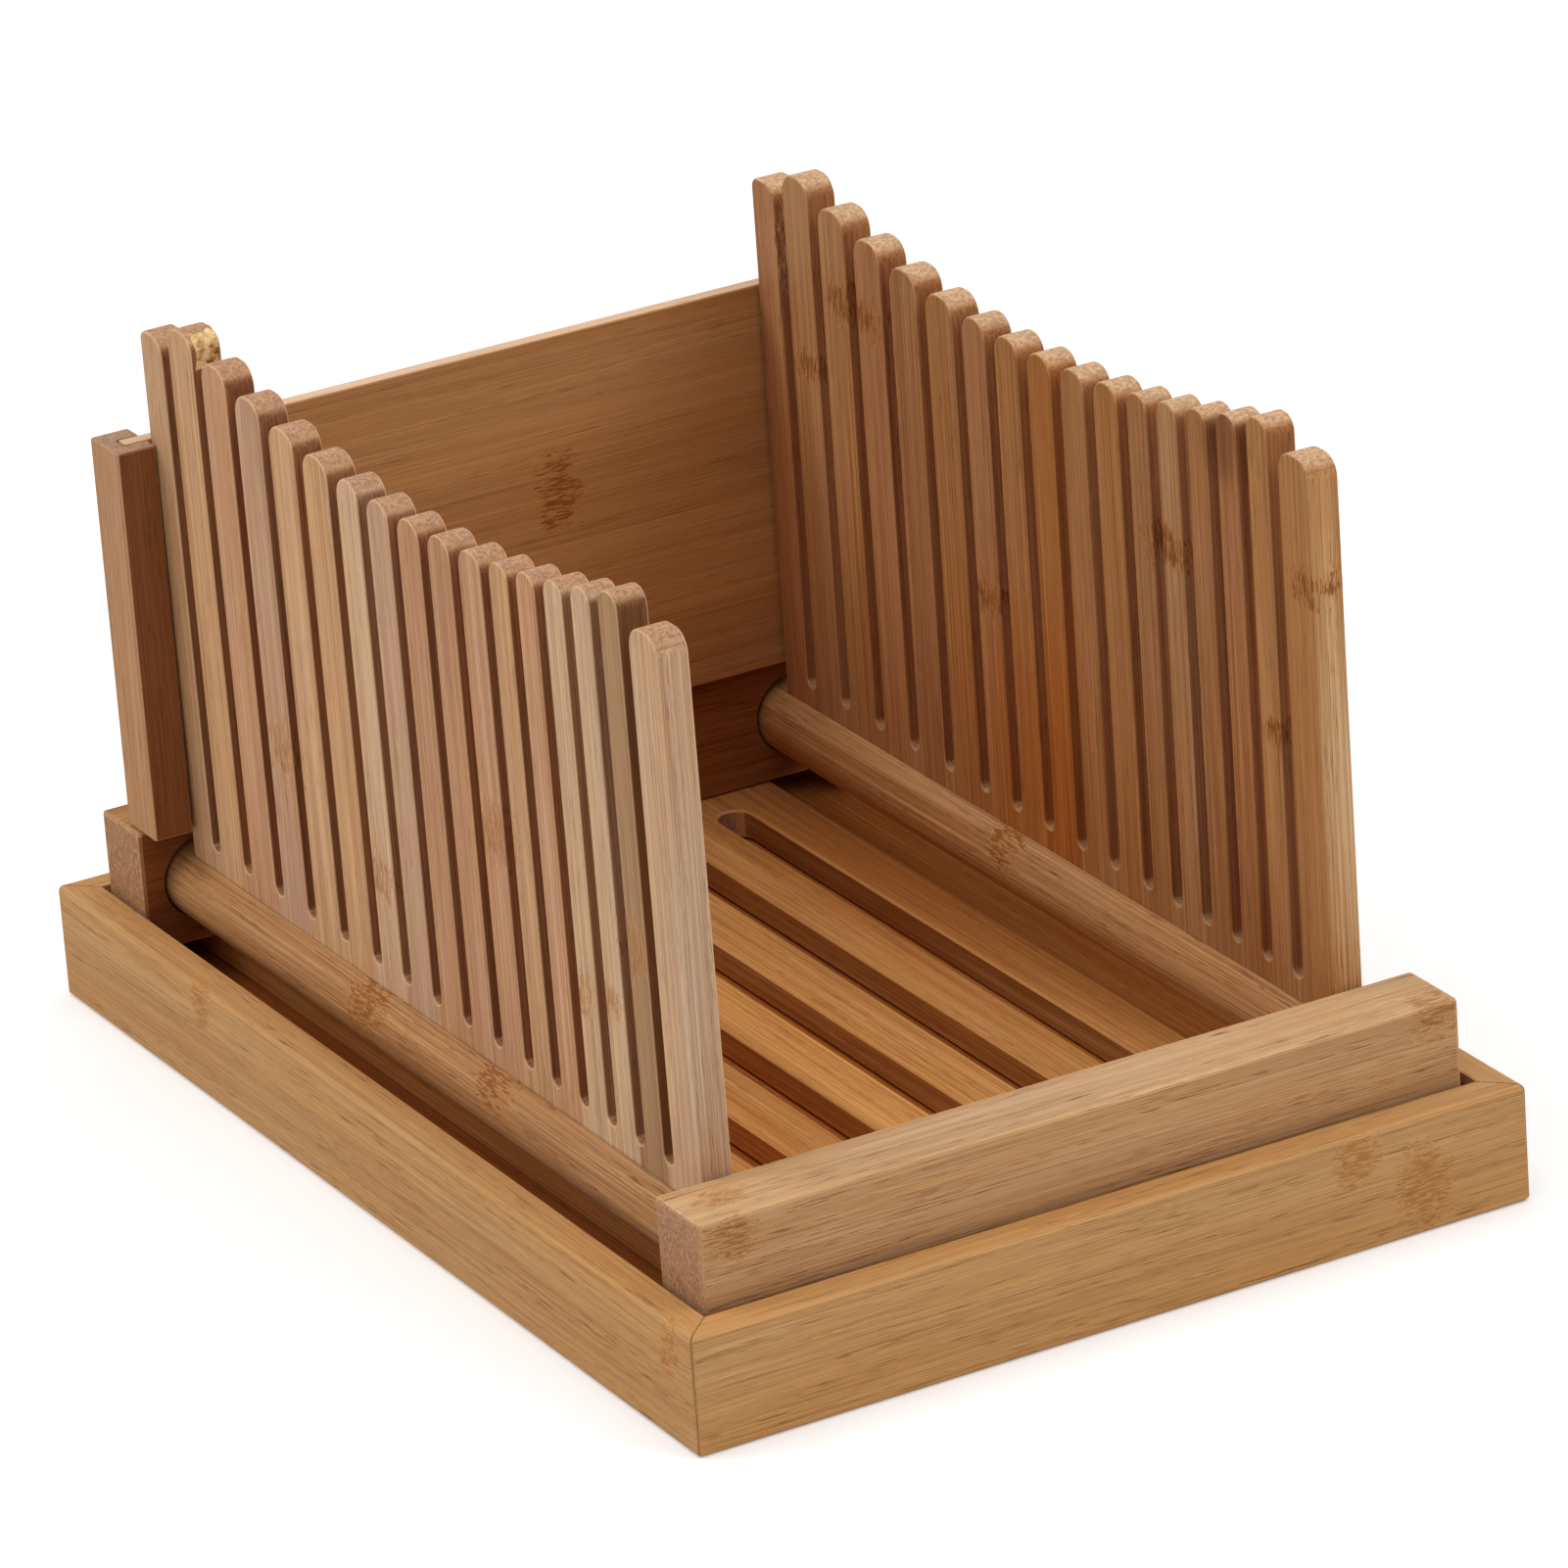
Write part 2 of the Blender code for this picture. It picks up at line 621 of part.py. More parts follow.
def main():
    clear_scene()
    materials = make_materials()
    make_tray(materials)
    base = add_empty("base", (-BASE_SHIFT, 0.0, 0.0))
    make_deck(base, materials)
    make_rail("front_rail", -1, base, materials)
    rear_rail = make_rail("rear_rail", 1, base, materials)
    make_screws(base, materials)
    for name, side, lean in (("left", -1, LEFT_COMB_LEAN), ("right", 1, RIGHT_COMB_LEAN)):
        tilt = side * math.atan(lean / (FRAME_TOP - ROD_HEIGHT))
        axis = add_empty(f"{name}_comb_axis", (side * ROD_SIDE, 0.0, ROD_HEIGHT), base, tilt)
        make_rod(f"{name}_rod", axis, materials)
        make_comb(f"{name}_comb", axis, materials)
        make_end_bar(f"{name}_end_bar", side, lean, base, materials)
        make_dowel(f"{name}_frame_dowel", side, lean, base, materials)
        cut_dowel_hole(rear_rail, f"rear_rail_{name}", side, lean)
    make_back_board(base, materials)


main()
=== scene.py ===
"""Looks of the bamboo bread slicing guide: laminated bamboo, soft studio light and the photo's view.

Pieces are in metres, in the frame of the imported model, with +Y from the front rail to the back board.
Patterns in the wood are in millimetres, and colours are display values from 0 to 255.
"""

import functools
import math
from dataclasses import dataclass

import bmesh
import bpy
from mathutils import Matrix, Vector, noise


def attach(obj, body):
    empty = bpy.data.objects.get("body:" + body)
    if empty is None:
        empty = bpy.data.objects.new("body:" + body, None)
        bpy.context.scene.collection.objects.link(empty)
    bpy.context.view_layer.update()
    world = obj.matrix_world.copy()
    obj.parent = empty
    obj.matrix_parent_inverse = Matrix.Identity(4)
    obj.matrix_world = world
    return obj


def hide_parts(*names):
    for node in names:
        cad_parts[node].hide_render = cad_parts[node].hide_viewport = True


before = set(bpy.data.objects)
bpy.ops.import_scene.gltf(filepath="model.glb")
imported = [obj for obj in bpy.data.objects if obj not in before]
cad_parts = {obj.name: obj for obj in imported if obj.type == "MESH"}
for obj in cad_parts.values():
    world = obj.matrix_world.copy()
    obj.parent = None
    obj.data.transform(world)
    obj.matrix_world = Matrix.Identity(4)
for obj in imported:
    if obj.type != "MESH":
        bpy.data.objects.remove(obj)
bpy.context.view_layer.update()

# Millimetres in a metre
MM = 1000.0

# The photo's camera
CAMERA_PLACE = (-1.06722, -2.03759, 1.03296)
CAMERA_RIGHT = (0.86864, -0.49075, -0.06809)
CAMERA_FORWARD = (0.43184, 0.81730, -0.38148)
CAMERA_REACH = 100.0
LENS_MM = 229.87
SENSOR_MM = 36.0

# The studio: a pale room, and a floor whose glow rises from NEAR_FLOOR to FAR_FLOOR
WHITE = (1.0, 1.0, 1.0, 1.0)
ROOM_LEVEL = 0.18
FLOOR_HALF = 12.0
FLOOR_DROP = 0.0002
FLOOR_COLOUR = (0.86, 0.86, 0.86, 1.0)
FLOOR_ROUGHNESS = 0.9
FLOOR_GLOW = 0.28
NEAR_FLOOR, FAR_FLOOR = 0.5, 3.0

# The soft boxes: place, side and power of each, all aimed at one point
LAMP_TARGET = (0.0, 0.0, 0.1)
LAMPS = {
    "top_soft_box": ((0.0, 0.0, 2.2), 1.9, 28.0),
    "right_soft_box": ((1.2, -1.6, 1.5), 1.3, 19.0),
    "left_soft_box": ((-1.5, 1.0, 1.6), 1.3, 19.0),
    "fill_soft_box": ((-1.5, -1.2, 1.5), 1.3, 4.0),
}

# The combs, each in the frame of its rod: Y along the row of slats, Z up from the rod's axis
ROD_HEIGHT = 0.03615
COMB_X = {"left_comb": -0.0883, "right_comb": 0.0869}
COMB_LEAN = {"left_comb": -0.4184, "right_comb": 0.1395}
COMB_THICKNESS = 0.0085
COMB_FRONT, COMB_REAR = -0.1371, 0.1331
COMB_FOOT = 0.00155
COMB_FOOT_ROUND = 0.0012
SLOT_FOOT = 0.01485
SLOT_WIDTH = 0.0048
FIRST_SLOT = 0.1191
SLICE_PITCHES = (0.018, 0.016, 0.014)
SLICES_PER_PITCH = 5

# The slats' tops: the two end ones are at SLAT_HIGH, the others on an arc that is lowest at ARC_PLACE
SLAT_LOW, SLAT_HIGH = 0.14519, 0.1535
ARC_RADIUS, ARC_PLACE = 0.4650, -0.0035
TOP_ROUND, REAR_ROUND = 0.0055, 0.0028
WIDEST_ROUND = 0.47

# Rounding: the eased edges, the steps in a quarter turn and in an eased edge, and flat faces' weight
EDGE_EASE = 0.0006
ARC_STEPS, EASE_STEPS = 8, 3
FLAT_FACE_WEIGHT = 60

# The tray, for the glue seams in its mitres
TRAY_HALF_WIDTH, TRAY_HALF_LENGTH = 0.1158, 0.1700
TRAY_WALL = 0.0087
TRAY_RIM_ROUND, TRAY_CORNER_ROUND = 0.0018, 0.0011
TRAY_FOOT, TRAY_TOP = 0.0009, 0.0309
SEAM_WIDTH, SEAM_INSET = 0.00032, 0.00002

# Rough patches on the slats: their lumps, and where and how steeply they fall away to the rim
LUMP_FRACTAL = (0.8, 2.1, 4)
LUMP_BASE, LUMP_GAIN = 0.45, 0.9
RIM_PITCH = 0.6
RIM_PLACE, RIM_SLOPE = 0.92, 3.0

# How far the patches are let in, their thickness, and the part of their length over which they widen
CRUST_SINK, CRUST_DEPTH = 0.00012, 0.0002
CRUST_THICKNESS = 0.0006
TAPER_PART = 0.7

# The slat's face that a patch can turn onto, the width of that turn, and how far it flattens the front
CRUST_FACE = -COMB_THICKNESS / 2
CRUST_CORNER = 0.0004
CORNER_SHARE = 0.9

# The three axes, and two faces of a board by the axis that they look along and its sign
X, Y, Z = 0, 1, 2
FRONT_FACE, TOP_FACE = (Y, -1), (Z, 1)

# Patterns of the grain: width across and length along it, then the noise's detail and roughness
BANDS = (3.6, 210.0, 2.0, 0.5)
FIBRES = (0.42, 110.0, 2.0, 0.62)
LINES = (0.30, 42.0, 1.0, 0.5)
PORES = (0.25, 9.0, 1.0, 0.5)
PORE_CROWDS = (2.6, 50.0, 1.0, 0.5)
HUE_DRIFT = (17.0, 120.0, 2.0, 0.5)

# Levels between which a pattern's noise comes in
LINE_STEP = (0.57, 0.68)
PORE_STEP = (0.58, 0.66)
CROWD_STEP = (0.42, 0.62)
DRIFT_STEP = (0.34, 0.66)
STROKE_STEP = (0.60, 0.68)

# Glued strips: where the first starts, and how far chance moves a strip's pattern along and across
STRIP_PHASES = (0.37, 0.21)
SLIP_ALONG, SLIP_A, SLIP_B = 311.0, 61.0, 47.0

# The sway of the grain, and how far and at what pitch a knuckle of the cane pushes it aside
SWAY_PITCH, SWAY_DETAIL, SWAY = (0.12, 0.12, 0.009), 1.0, 1.4
PUSH_PITCH, PUSH = (0.30, 0.30, 0.30), 6.0

# Masks at chosen places: their noise, where their rims lie, and the noise's pitch and strength there
MASK_NOISE = (2.0, 0.6)
MASK_RIM = (1.0, 0.30)
KNUCKLE_PITCH, KNUCKLE_RAGGED = (0.28, 0.28, 0.28), 1.1
SPOT_PITCH, SPOT_RAGGED = (0.30, 0.015), 0.6

# The short dark strokes in a knuckle, and the strength of the warm patch under them
STROKE_PITCH = (1 / 0.50, 1 / 4.2)
STROKE_NOISE = (2.0, 0.6)
STROKE_CROWDING = 0.16
STROKE_RIM = (0.0, 0.3)
PATCH_STRENGTH = 0.6

# Pores where they are sparse, and the strength of the fine lines beside that of the pores
SPARSE_PORES = 0.25
LINE_STRENGTH = 0.5

# Shares of the wood's own colours: drifting hue, dashes, knuckles, paler eased edges and hollows in the
# ends
COOL_HUE = (0.988, 1.012, 1.048, 1.0)
WARM_HUE = (1.0, 0.952, 0.856, 1.0)
DASH_SHARE = (0.74, 0.64, 0.54)
KNUCKLE_SHARE = (0.93, 0.82, 0.62)
EDGE_LIFT_SHARE = (1.12, 1.12, 1.12)
HOLLOW_SHARE = (0.80, 0.80, 0.80)

# Sawn ends: the fibre bundles' dots, the mottled ground, and how square to the grain an end has to be
DOT_PITCH, CLOUD_PITCH = 1.25, 0.9
DOT_STEP, CLOUD_STEP = (0.50, 0.15), (0.34, 0.64)
CLOUD_NOISE = (3.0, 0.65)
FAINTEST_DOT, DOT_STRENGTH = 0.3, 0.70
END_STEP = (0.45, 0.85)

# How squarely a surface faces an axis, from 0 to 1: on pale eased edges, at two faces' edges, on faces
# with painted light or shade
EDGE_STEP = (0.985, 0.86)
FACE_EDGE_STEP, FACE_RIM_STEP = (0.985, 0.88), (0.10, 0.40)
FACE_STEP = (0.75, 0.97)

# The surface: roughness and how much the fibres change it, and the relief of fibres, pores and dots
ROUGHNESS, SHEEN_SWING = 0.62, 0.4
PORE_DEPTH, DOT_DEPTH = 0.6, 0.3
GRAIN_BUMP = (0.35, 0.0002)

# Pith and bark: the noise of the lumps and of the fine grain on them, and the levels of their colours
CRUST_LUMPS = (4.0, 0.62, 0.4)
CRUST_FINE_PITCH, CRUST_FINE, CRUST_FINE_SWING = (3.1, 3.1, 3.1), (3.0, 0.6), 0.4
MIDDLE_STEP, HIGH_STEP = (0.36, 0.50), (0.48, 0.62)
CRUST_ROUGHNESS, CRUST_SHEEN_SWING = 0.55, 0.5
CRUST_BUMP = 0.7

# Zinc plate: its two greys, its mottle, and its roughness
ZINC_DARK, ZINC_LIGHT = (176, 178, 184), (214, 214, 212)
ZINC_MOTTLE = (3.0, 0.6)
ZINC_ROUGHNESS, ZINC_SHEEN_SWING = 0.345, 0.25

# Stains in the wood, as shares of its own colour; the last is painted shade on the deck's right side
PALE_SPOT = (1.10, 1.20, 1.32)
WHITE_SPOT = (1.20, 1.55, 2.10)
AMBER_SPOT = (1.00, 0.74, 0.42)
BARK_SPOT = (0.62, 0.56, 0.50)
DECK_RIGHT_SHADE = (0.66, 0.50, 0.40)

# Place along Y behind which a front-facing face of a comb is a slot's wall
SLOT_WALL_START = -136.5

# Height over the rod's axis below which a face across the grain is a slot's foot
SLOT_FEET = 30.0

# Tints of the slats, as shares of the wood's own colour, and the tint of each slat from the back
TINTS = {
    "plain": (1.00, 1.00, 1.00),
    "warm": (1.03, 1.00, 0.92),
    "rose": (1.00, 0.92, 0.92),
    "grey": (1.00, 1.00, 1.10),
    "pale": (1.12, 1.22, 1.34),
    "fair": (1.18, 1.36, 1.58),
    "olive": (0.74, 0.74, 0.70),
    "amber": (1.00, 0.84, 0.62),
}
LEFT_TINTS = (
    "plain warm rose grey warm warm pale grey rose "
    "rose rose warm rose fair fair olive pale"
)
RIGHT_TINTS = (
    "rose plain warm rose plain warm grey warm amber "
    "plain warm plain pale plain rose warm warm"
)

# Knuckles of the cane, each as its centre and its half-lengths along the three axes
KNUCKLES = {
    "tray_long": [
        ((-115.8, -159, 24), (8, 6, 11)),
        ((-115.8, 87, 27), (6, 7, 10)),
        ((115.8, -40, 18), (6, 7, 11)),
    ],
    "tray_short": [
        ((67, -170, 24), (9, 6, 9)),
        ((86, -170, 13), (11, 6, 14)),
        ((-30, 170, 16), (9, 6, 12)),
    ],
    "rail": [
        ((-96, -159, 48), (9, 8, 7)),
        ((-93, -148, 53), (9, 8, 5)),
        ((98, -157, 50), (10, 9, 8)),
        ((-20, 148, 40), (9, 12, 10)),
    ],
    "rod": [
        ((-99, 29, 43), (12, 12, 12)),
        ((-96, -38, 45), (12, 12, 12)),
        ((80, 14, 45), (12, 10, 12)),
    ],
    "left_comb": [
        ((0, 70, 58), (14, 15, 12)),
        ((0, 22, 40), (14, 10, 8)),
        ((0, -46, 74), (14, 16, 12)),
        ((0, -84, 46), (14, 9, 9)),
        ((0, -98, 48), (14, 8, 8)),
        ((0, -112, 68), (14, 12, 11)),
    ],
    "right_comb": [
        ((0, 82, 131), (14, 22, 9)),
        ((0, 108, 108), (14, 11, 6)),
        ((0, 21, 71), (14, 12, 7)),
        ((0, -68, 112), (14, 15, 8)),
        ((0, -117, 78), (14, 9, 6)),
        ((0, -133, 121), (14, 8, 8)),
    ],
    "board": [((21, 134.6, 117), (9, 9, 15))],
}


def linear(value):
    """The linear value of a display value from 0 to 255, by the sRGB curve."""
    share = value / 255
    return share / 12.92 if share <= 0.04045 else ((share + 0.055) / 1.055) ** 2.4


def srgb(colour, shares=(1.0, 1.0, 1.0)):
    """A colour of 0 to 255 display values, multiplied by the shares, as a shader takes it."""
    return (*[linear(min(255, share * value)) for value, share in zip(colour, shares)], 1.0)


class Graph:
    """Builds nodes in a node tree."""

    def __init__(self, tree):
        self.tree = tree

    def put(self, socket, value):
        """Links a socket to the input, or sets the input to a plain value."""
        if isinstance(value, bpy.types.NodeSocket):
            self.tree.links.new(value, socket)
        else:
            socket.default_value = value

    def node(self, kind, **settings):
        """A new node of that kind, with its settings."""
        made = self.tree.nodes.new(kind)
        for name, value in settings.items():
            setattr(made, name, value)
        return made

    def math(self, operation, first, second=0.0, third=0.0, clamp=False):
        """The result of an operation on up to three numbers."""
        made = self.node("ShaderNodeMath", operation=operation, use_clamp=clamp)
        for socket, value in zip(made.inputs, (first, second, third)):
            self.put(socket, value)
        return made.outputs[0]

    def swing(self, value, amount, middle=0.0):
        """A value from 0 to 1, made to swing by amount in all about the middle."""
        return self.math("MULTIPLY_ADD", value, amount, middle - 0.5 * amount)

    def largest(self, values):
        """The largest of some numbers."""
        return functools.reduce(functools.partial(self.math, "MAXIMUM"), values)

    def vector(self, operation, first, second=(0.0, 0.0, 0.0), output="Vector"):
        """The result of an operation on one or two vectors."""
        made = self.node("ShaderNodeVectorMath", operation=operation)
        self.put(made.inputs[0], first)
        self.put(made.inputs[1], second)
        return made.outputs[output]

    def split(self, vector):
        """The three parts of a vector."""
        made = self.node("ShaderNodeSeparateXYZ")
        self.put(made.inputs[0], vector)
        return list(made.outputs)

    def join(self, x, y, z):
        """A vector of three parts."""
        made = self.node("ShaderNodeCombineXYZ")
        for socket, value in zip(made.inputs, (x, y, z)):
            self.put(socket, value)
        return made.outputs[0]

    def noise(self, vector, detail=2.0, roughness=0.5, distortion=0.0):
        """Smooth noise about 0.5 whose features are about one unit of the vector across."""
        made = self.node("ShaderNodeTexNoise")
        self.put(made.inputs["Vector"], vector)
        made.inputs["Scale"].default_value = 1.0
        made.inputs["Detail"].default_value = detail
        made.inputs["Roughness"].default_value = roughness
        made.inputs["Distortion"].default_value = distortion
        return made.outputs["Fac"]

    def white(self, vector):
        """A random number and a random colour for each vector."""
        made = self.node("ShaderNodeTexWhiteNoise", noise_dimensions="3D")
        self.put(made.inputs["Vector"], vector)
        return made.outputs["Value"], made.outputs["Color"]

    def ramp(self, value, low, high, start=0.0, end=1.0):
        """A smooth step of value, from start at low to end at high."""
        made = self.node("ShaderNodeMapRange", interpolation_type="SMOOTHSTEP")
        names = ("Value", "From Min", "From Max", "To Min", "To Max")
        for name, setting in zip(names, (value, low, high, start, end)):
            self.put(made.inputs[name], setting)
        return made.outputs["Result"]

    def mix(self, factor, first, second, blend="MIX"):
        """The first colour blended with the second by the factor."""
        made = self.node("ShaderNodeMix", data_type="RGBA", blend_type=blend)
        self.put(made.inputs["Factor"], factor)
        self.put(made.inputs[6], first)
        self.put(made.inputs[7], second)
        return made.outputs[2]

    def toned(self, mask, colour, share):
        """The colour, multiplied by the share where the mask is 1."""
        return self.mix(mask, colour, self.vector("MULTIPLY", colour, share))


class Surface(Graph):
    """Builds the nodes of a new material. Its place is in millimetres unless a scale is given."""

    def __init__(self, name, scale=(MM, MM, MM)):
        self.material = bpy.data.materials.new(name)
        self.material.use_nodes = True
        super().__init__(self.material.node_tree)
        self.shader = self.tree.nodes["Principled BSDF"]
        coordinates = self.node("ShaderNodeTexCoord")
        self.place = self.vector("MULTIPLY", coordinates.outputs["Object"], scale)
        self.normal = coordinates.outputs["Normal"]

    def feed(self, name, value):
        """Links or sets an input of the material's shader."""
        self.put(self.shader.inputs[name], value)

    def bump(self, height, strength, distance):
        """Gives the surface a relief, which is distance metres high."""
        made = self.node("ShaderNodeBump")
        made.inputs["Strength"].default_value = strength
        made.inputs["Distance"].default_value = distance
        self.put(made.inputs["Height"], height)
        self.feed("Normal", made.outputs[0])


@dataclass
class Look:
    """What one bamboo material is like. A share multiplies a colour, and a strength of 0 is none."""

    # The axis that the grain runs along, and the colours between which the wood varies
    grain: int
    light: tuple
    dark: tuple
    # Widths of the glued strips on the two axes across the grain, and how far their tones differ
    strips: tuple = (6.0, 5.5)
    tone: float = 0.4
    # Strengths of the wide bands, of the fibres, and of the dark lines and pores
    bands: float = 0.8
    streaks: float = 1.6
    dashes: float = 0.6
    # Knuckles as (centre, half-lengths), the strength of their marks, and the colour of their strokes
    knuckles: tuple = ()
    marks: float = 0.8
    marked: tuple = (132, 76, 34)
    # Stains and painted shade as (centre, half-lengths, share), and the name of each slat's tint from
    # the back
    spots: tuple = ()
    tints: tuple = ()
    # Faces with painted light or shade as (face, share, lowest place on the face's axis or None)
    faces: tuple = ()
    # Strength of the paler eased edges, and the axis of a board's two faces where only their edges are
    # paler
    edges: float = 0.35
    face_axis: int = None
    # Colours of the sawn ends, and the share of painted shade on them at the feet of a comb's slots
    end_light: tuple = (190, 146, 110)
    end_dark: tuple = (134, 88, 58)
    low_end: tuple = None
    # Level of the shine, and a number that gives the material a grain of its own
    gloss: float = 0.12
    seed: float = 1.0


class Wood(Surface):
    """The nodes of one bamboo material, with what its layers share.

    parts holds a place along the three axes, sides the two across the grain, along the one along it.
    facing says how squarely the surface faces each axis, and knuckle is 1 in the cane's knuckles.
    """

    def __init__(self, name, look):
        super().__init__(name)
        self.look = look
        self.parts = self.split(self.place)
        self.facing = self.split(self.vector("ABSOLUTE", self.normal))
        self.sides = [self.parts[axis] for axis in (X, Y, Z) if axis != look.grain]
        self.along = self.parts[look.grain]
        self.knuckle = None
        if look.knuckles:
            self.knuckle = place_mask(self, look.knuckles, KNUCKLE_PITCH, KNUCKLE_RAGGED)
        self.chance, chances = self.strip_chances()
        self.flow = self.bent_grain(*self.split(chances))

    def strip_chances(self):
        """A random number and a random colour for the glued strip that a place is in."""
        numbers = []
        for side, width, phase in zip(self.sides, self.look.strips, STRIP_PHASES):
            numbers.append(self.math("FLOOR", self.math("MULTIPLY_ADD", side, 1 / width, phase)))
        return self.white(self.join(*numbers, self.look.seed))

    def sway(self):
        """How far the grain strays to one side, most of all round the knuckles."""
        place = self.join(*self.sides, self.along)
        wander = self.noise(self.vector("MULTIPLY", place, SWAY_PITCH), SWAY_DETAIL)
        sway = self.swing(wander, SWAY)
        if self.knuckle is None:
            return sway
        push = self.swing(self.noise(self.vector("MULTIPLY", self.place, PUSH_PITCH)), PUSH)
        return self.math("ADD", sway, self.math("MULTIPLY", push, self.knuckle))

    def bent_grain(self, chance_along, chance_a, chance_b):
        """Two places across the grain and one along it, which sway and are moved in each strip."""
        side_a, side_b = self.sides
        across_a = self.math("ADD", self.math("MULTIPLY_ADD", chance_a, SLIP_A, side_a), self.sway())
        across_b = self.math("MULTIPLY_ADD", chance_b, SLIP_B, side_b)
        return across_a, across_b, self.math("MULTIPLY_ADD", chance_along, SLIP_ALONG, self.along)

    def pattern(self, width, length, detail, roughness):
        """Noise whose features are width across the grain and length along it."""
        sizes = (width, width, length)
        stretched = [self.math("MULTIPLY", place, 1 / size) for place, size in zip(self.flow, sizes)]
        return self.noise(self.join(*stretched), detail, roughness)

    def by_axis(self, across, along):
        """Three numbers, one for each axis, by whether it runs across or along the grain."""
        return [along if axis == self.look.grain else across for axis in (X, Y, Z)]


def place_mask(surface, places, pitch, ragged):
    """1 at the places, given as (centre, half-lengths), with a rim that noise breaks up."""
    rim = surface.noise(surface.vector("MULTIPLY", surface.place, pitch), *MASK_NOISE)
    rim = surface.swing(rim, ragged)
    masks = []
    for centre, reach in places:
        offset = surface.vector("SUBTRACT", surface.place, centre)
        stretched = surface.vector("DIVIDE", offset, reach)
        distance = surface.vector("LENGTH", stretched, output="Value")
        masks.append(surface.ramp(surface.math("ADD", distance, rim), *MASK_RIM))
    return surface.largest(masks)


def slat_tint(wood):
    """The tint of the slat that a place is on, by its place along Y."""
    span = MM * (COMB_REAR - COMB_FRONT)
    ramp = wood.node("ShaderNodeValToRGB")
    ramp.color_ramp.interpolation = "CONSTANT"
    side = wood.parts[Y]
    wood.put(ramp.inputs["Fac"], wood.math("MULTIPLY_ADD", side, 1 / span, -MM * COMB_FRONT / span))
    starts = [0.0] + [MM * (middle - COMB_FRONT) / span for middle in reversed(slot_middles())]
    stops = ramp.color_ramp.elements
    while len(stops) < len(starts):
        stops.new(1.0)
    # The tints are halved in the stops and doubled after them, so that no stop is over 1
    for stop, start, tint in zip(stops, starts, reversed(wood.look.tints)):
        stop.position = start
        stop.color = (*[share / 2 for share in TINTS[tint]], 1.0)
    return wood.vector("MULTIPLY", ramp.outputs["Color"], (2.0, 2.0, 2.0))


def lay_strips(wood, fibres):
    """The glued strips, each of its own tone, with wide bands, fibres and a drifting hue."""
    look = wood.look
    shade = wood.swing(wood.pattern(*BANDS), look.bands)
    shade = wood.math("ADD", shade, wood.swing(fibres, look.streaks))
    shade = wood.math("ADD", shade, wood.swing(wood.chance, look.tone, 0.5), clamp=True)
    colour = wood.mix(shade, srgb(look.dark), srgb(look.light))
    drift = wood.ramp(wood.pattern(*HUE_DRIFT), *DRIFT_STEP)
    return wood.mix(1.0, colour, wood.mix(drift, COOL_HUE, WARM_HUE), "MULTIPLY")


def lay_stains_and_shade(wood, colour):
    """The tints of a comb's slats, and stains and painted shade that are drawn out along the grain."""
    if wood.look.tints:
        colour = wood.mix(1.0, colour, slat_tint(wood), "MULTIPLY")
    pitch = wood.by_axis(*SPOT_PITCH)
    for centre, reach, share in wood.look.spots:
        spot = place_mask(wood, [(centre, reach)], pitch, SPOT_RAGGED)
        colour = wood.toned(spot, colour, share)
    return colour


def lay_dashes(wood, colour):
    """Fine dark lines, and pores that come in crowds. Gives the colour and the pores' mask."""
    look = wood.look
    lines = wood.ramp(wood.pattern(*LINES), *LINE_STEP)
    crowd = wood.ramp(wood.pattern(*PORE_CROWDS), *CROWD_STEP, SPARSE_PORES, 1.0)
    pores = wood.math("MULTIPLY", wood.ramp(wood.pattern(*PORES), *PORE_STEP), crowd)
    dark = srgb(look.dark, DASH_SHARE)
    colour = wood.mix(wood.math("MULTIPLY", lines, LINE_STRENGTH * look.dashes), colour, dark)
    return wood.mix(wood.math("MULTIPLY", pores, look.dashes), colour, dark), pores


def lay_knuckles(wood, colour, pores):
    """Warm patches with short dark strokes at the knuckles. Gives the colour and the pores' mask."""
    look = wood.look
    if wood.knuckle is None:
        return colour, pores
    pitch = wood.by_axis(*STROKE_PITCH)
    short = wood.noise(wood.vector("MULTIPLY", wood.place, pitch), *STROKE_NOISE)
    short = wood.ramp(wood.math("MULTIPLY_ADD", wood.knuckle, STROKE_CROWDING, short), *STROKE_STEP)
    strokes = wood.math("MULTIPLY", short, wood.ramp(wood.knuckle, *STROKE_RIM))
    strokes = wood.math("MULTIPLY", strokes, look.marks)
    patch = wood.math("MULTIPLY", wood.knuckle, PATCH_STRENGTH * look.marks)
    colour = wood.mix(patch, colour, srgb(look.light, KNUCKLE_SHARE))
    return wood.mix(strokes, colour, srgb(look.marked)), wood.largest((pores, strokes))


def lay_face_light(wood, colour):
    """Painted light and shade on the faces that the look names."""
    if not wood.look.faces:
        return colour
    normal = wood.split(wood.normal)
    for (axis, sign), share, lowest in wood.look.faces:
        mask = wood.ramp(wood.math("MULTIPLY", normal[axis], sign), *FACE_STEP)
        if lowest is not None:
            mask = wood.math("MULTIPLY", mask, wood.math("GREATER_THAN", wood.parts[axis], lowest))
        colour = wood.toned(mask, colour, share)
    return colour


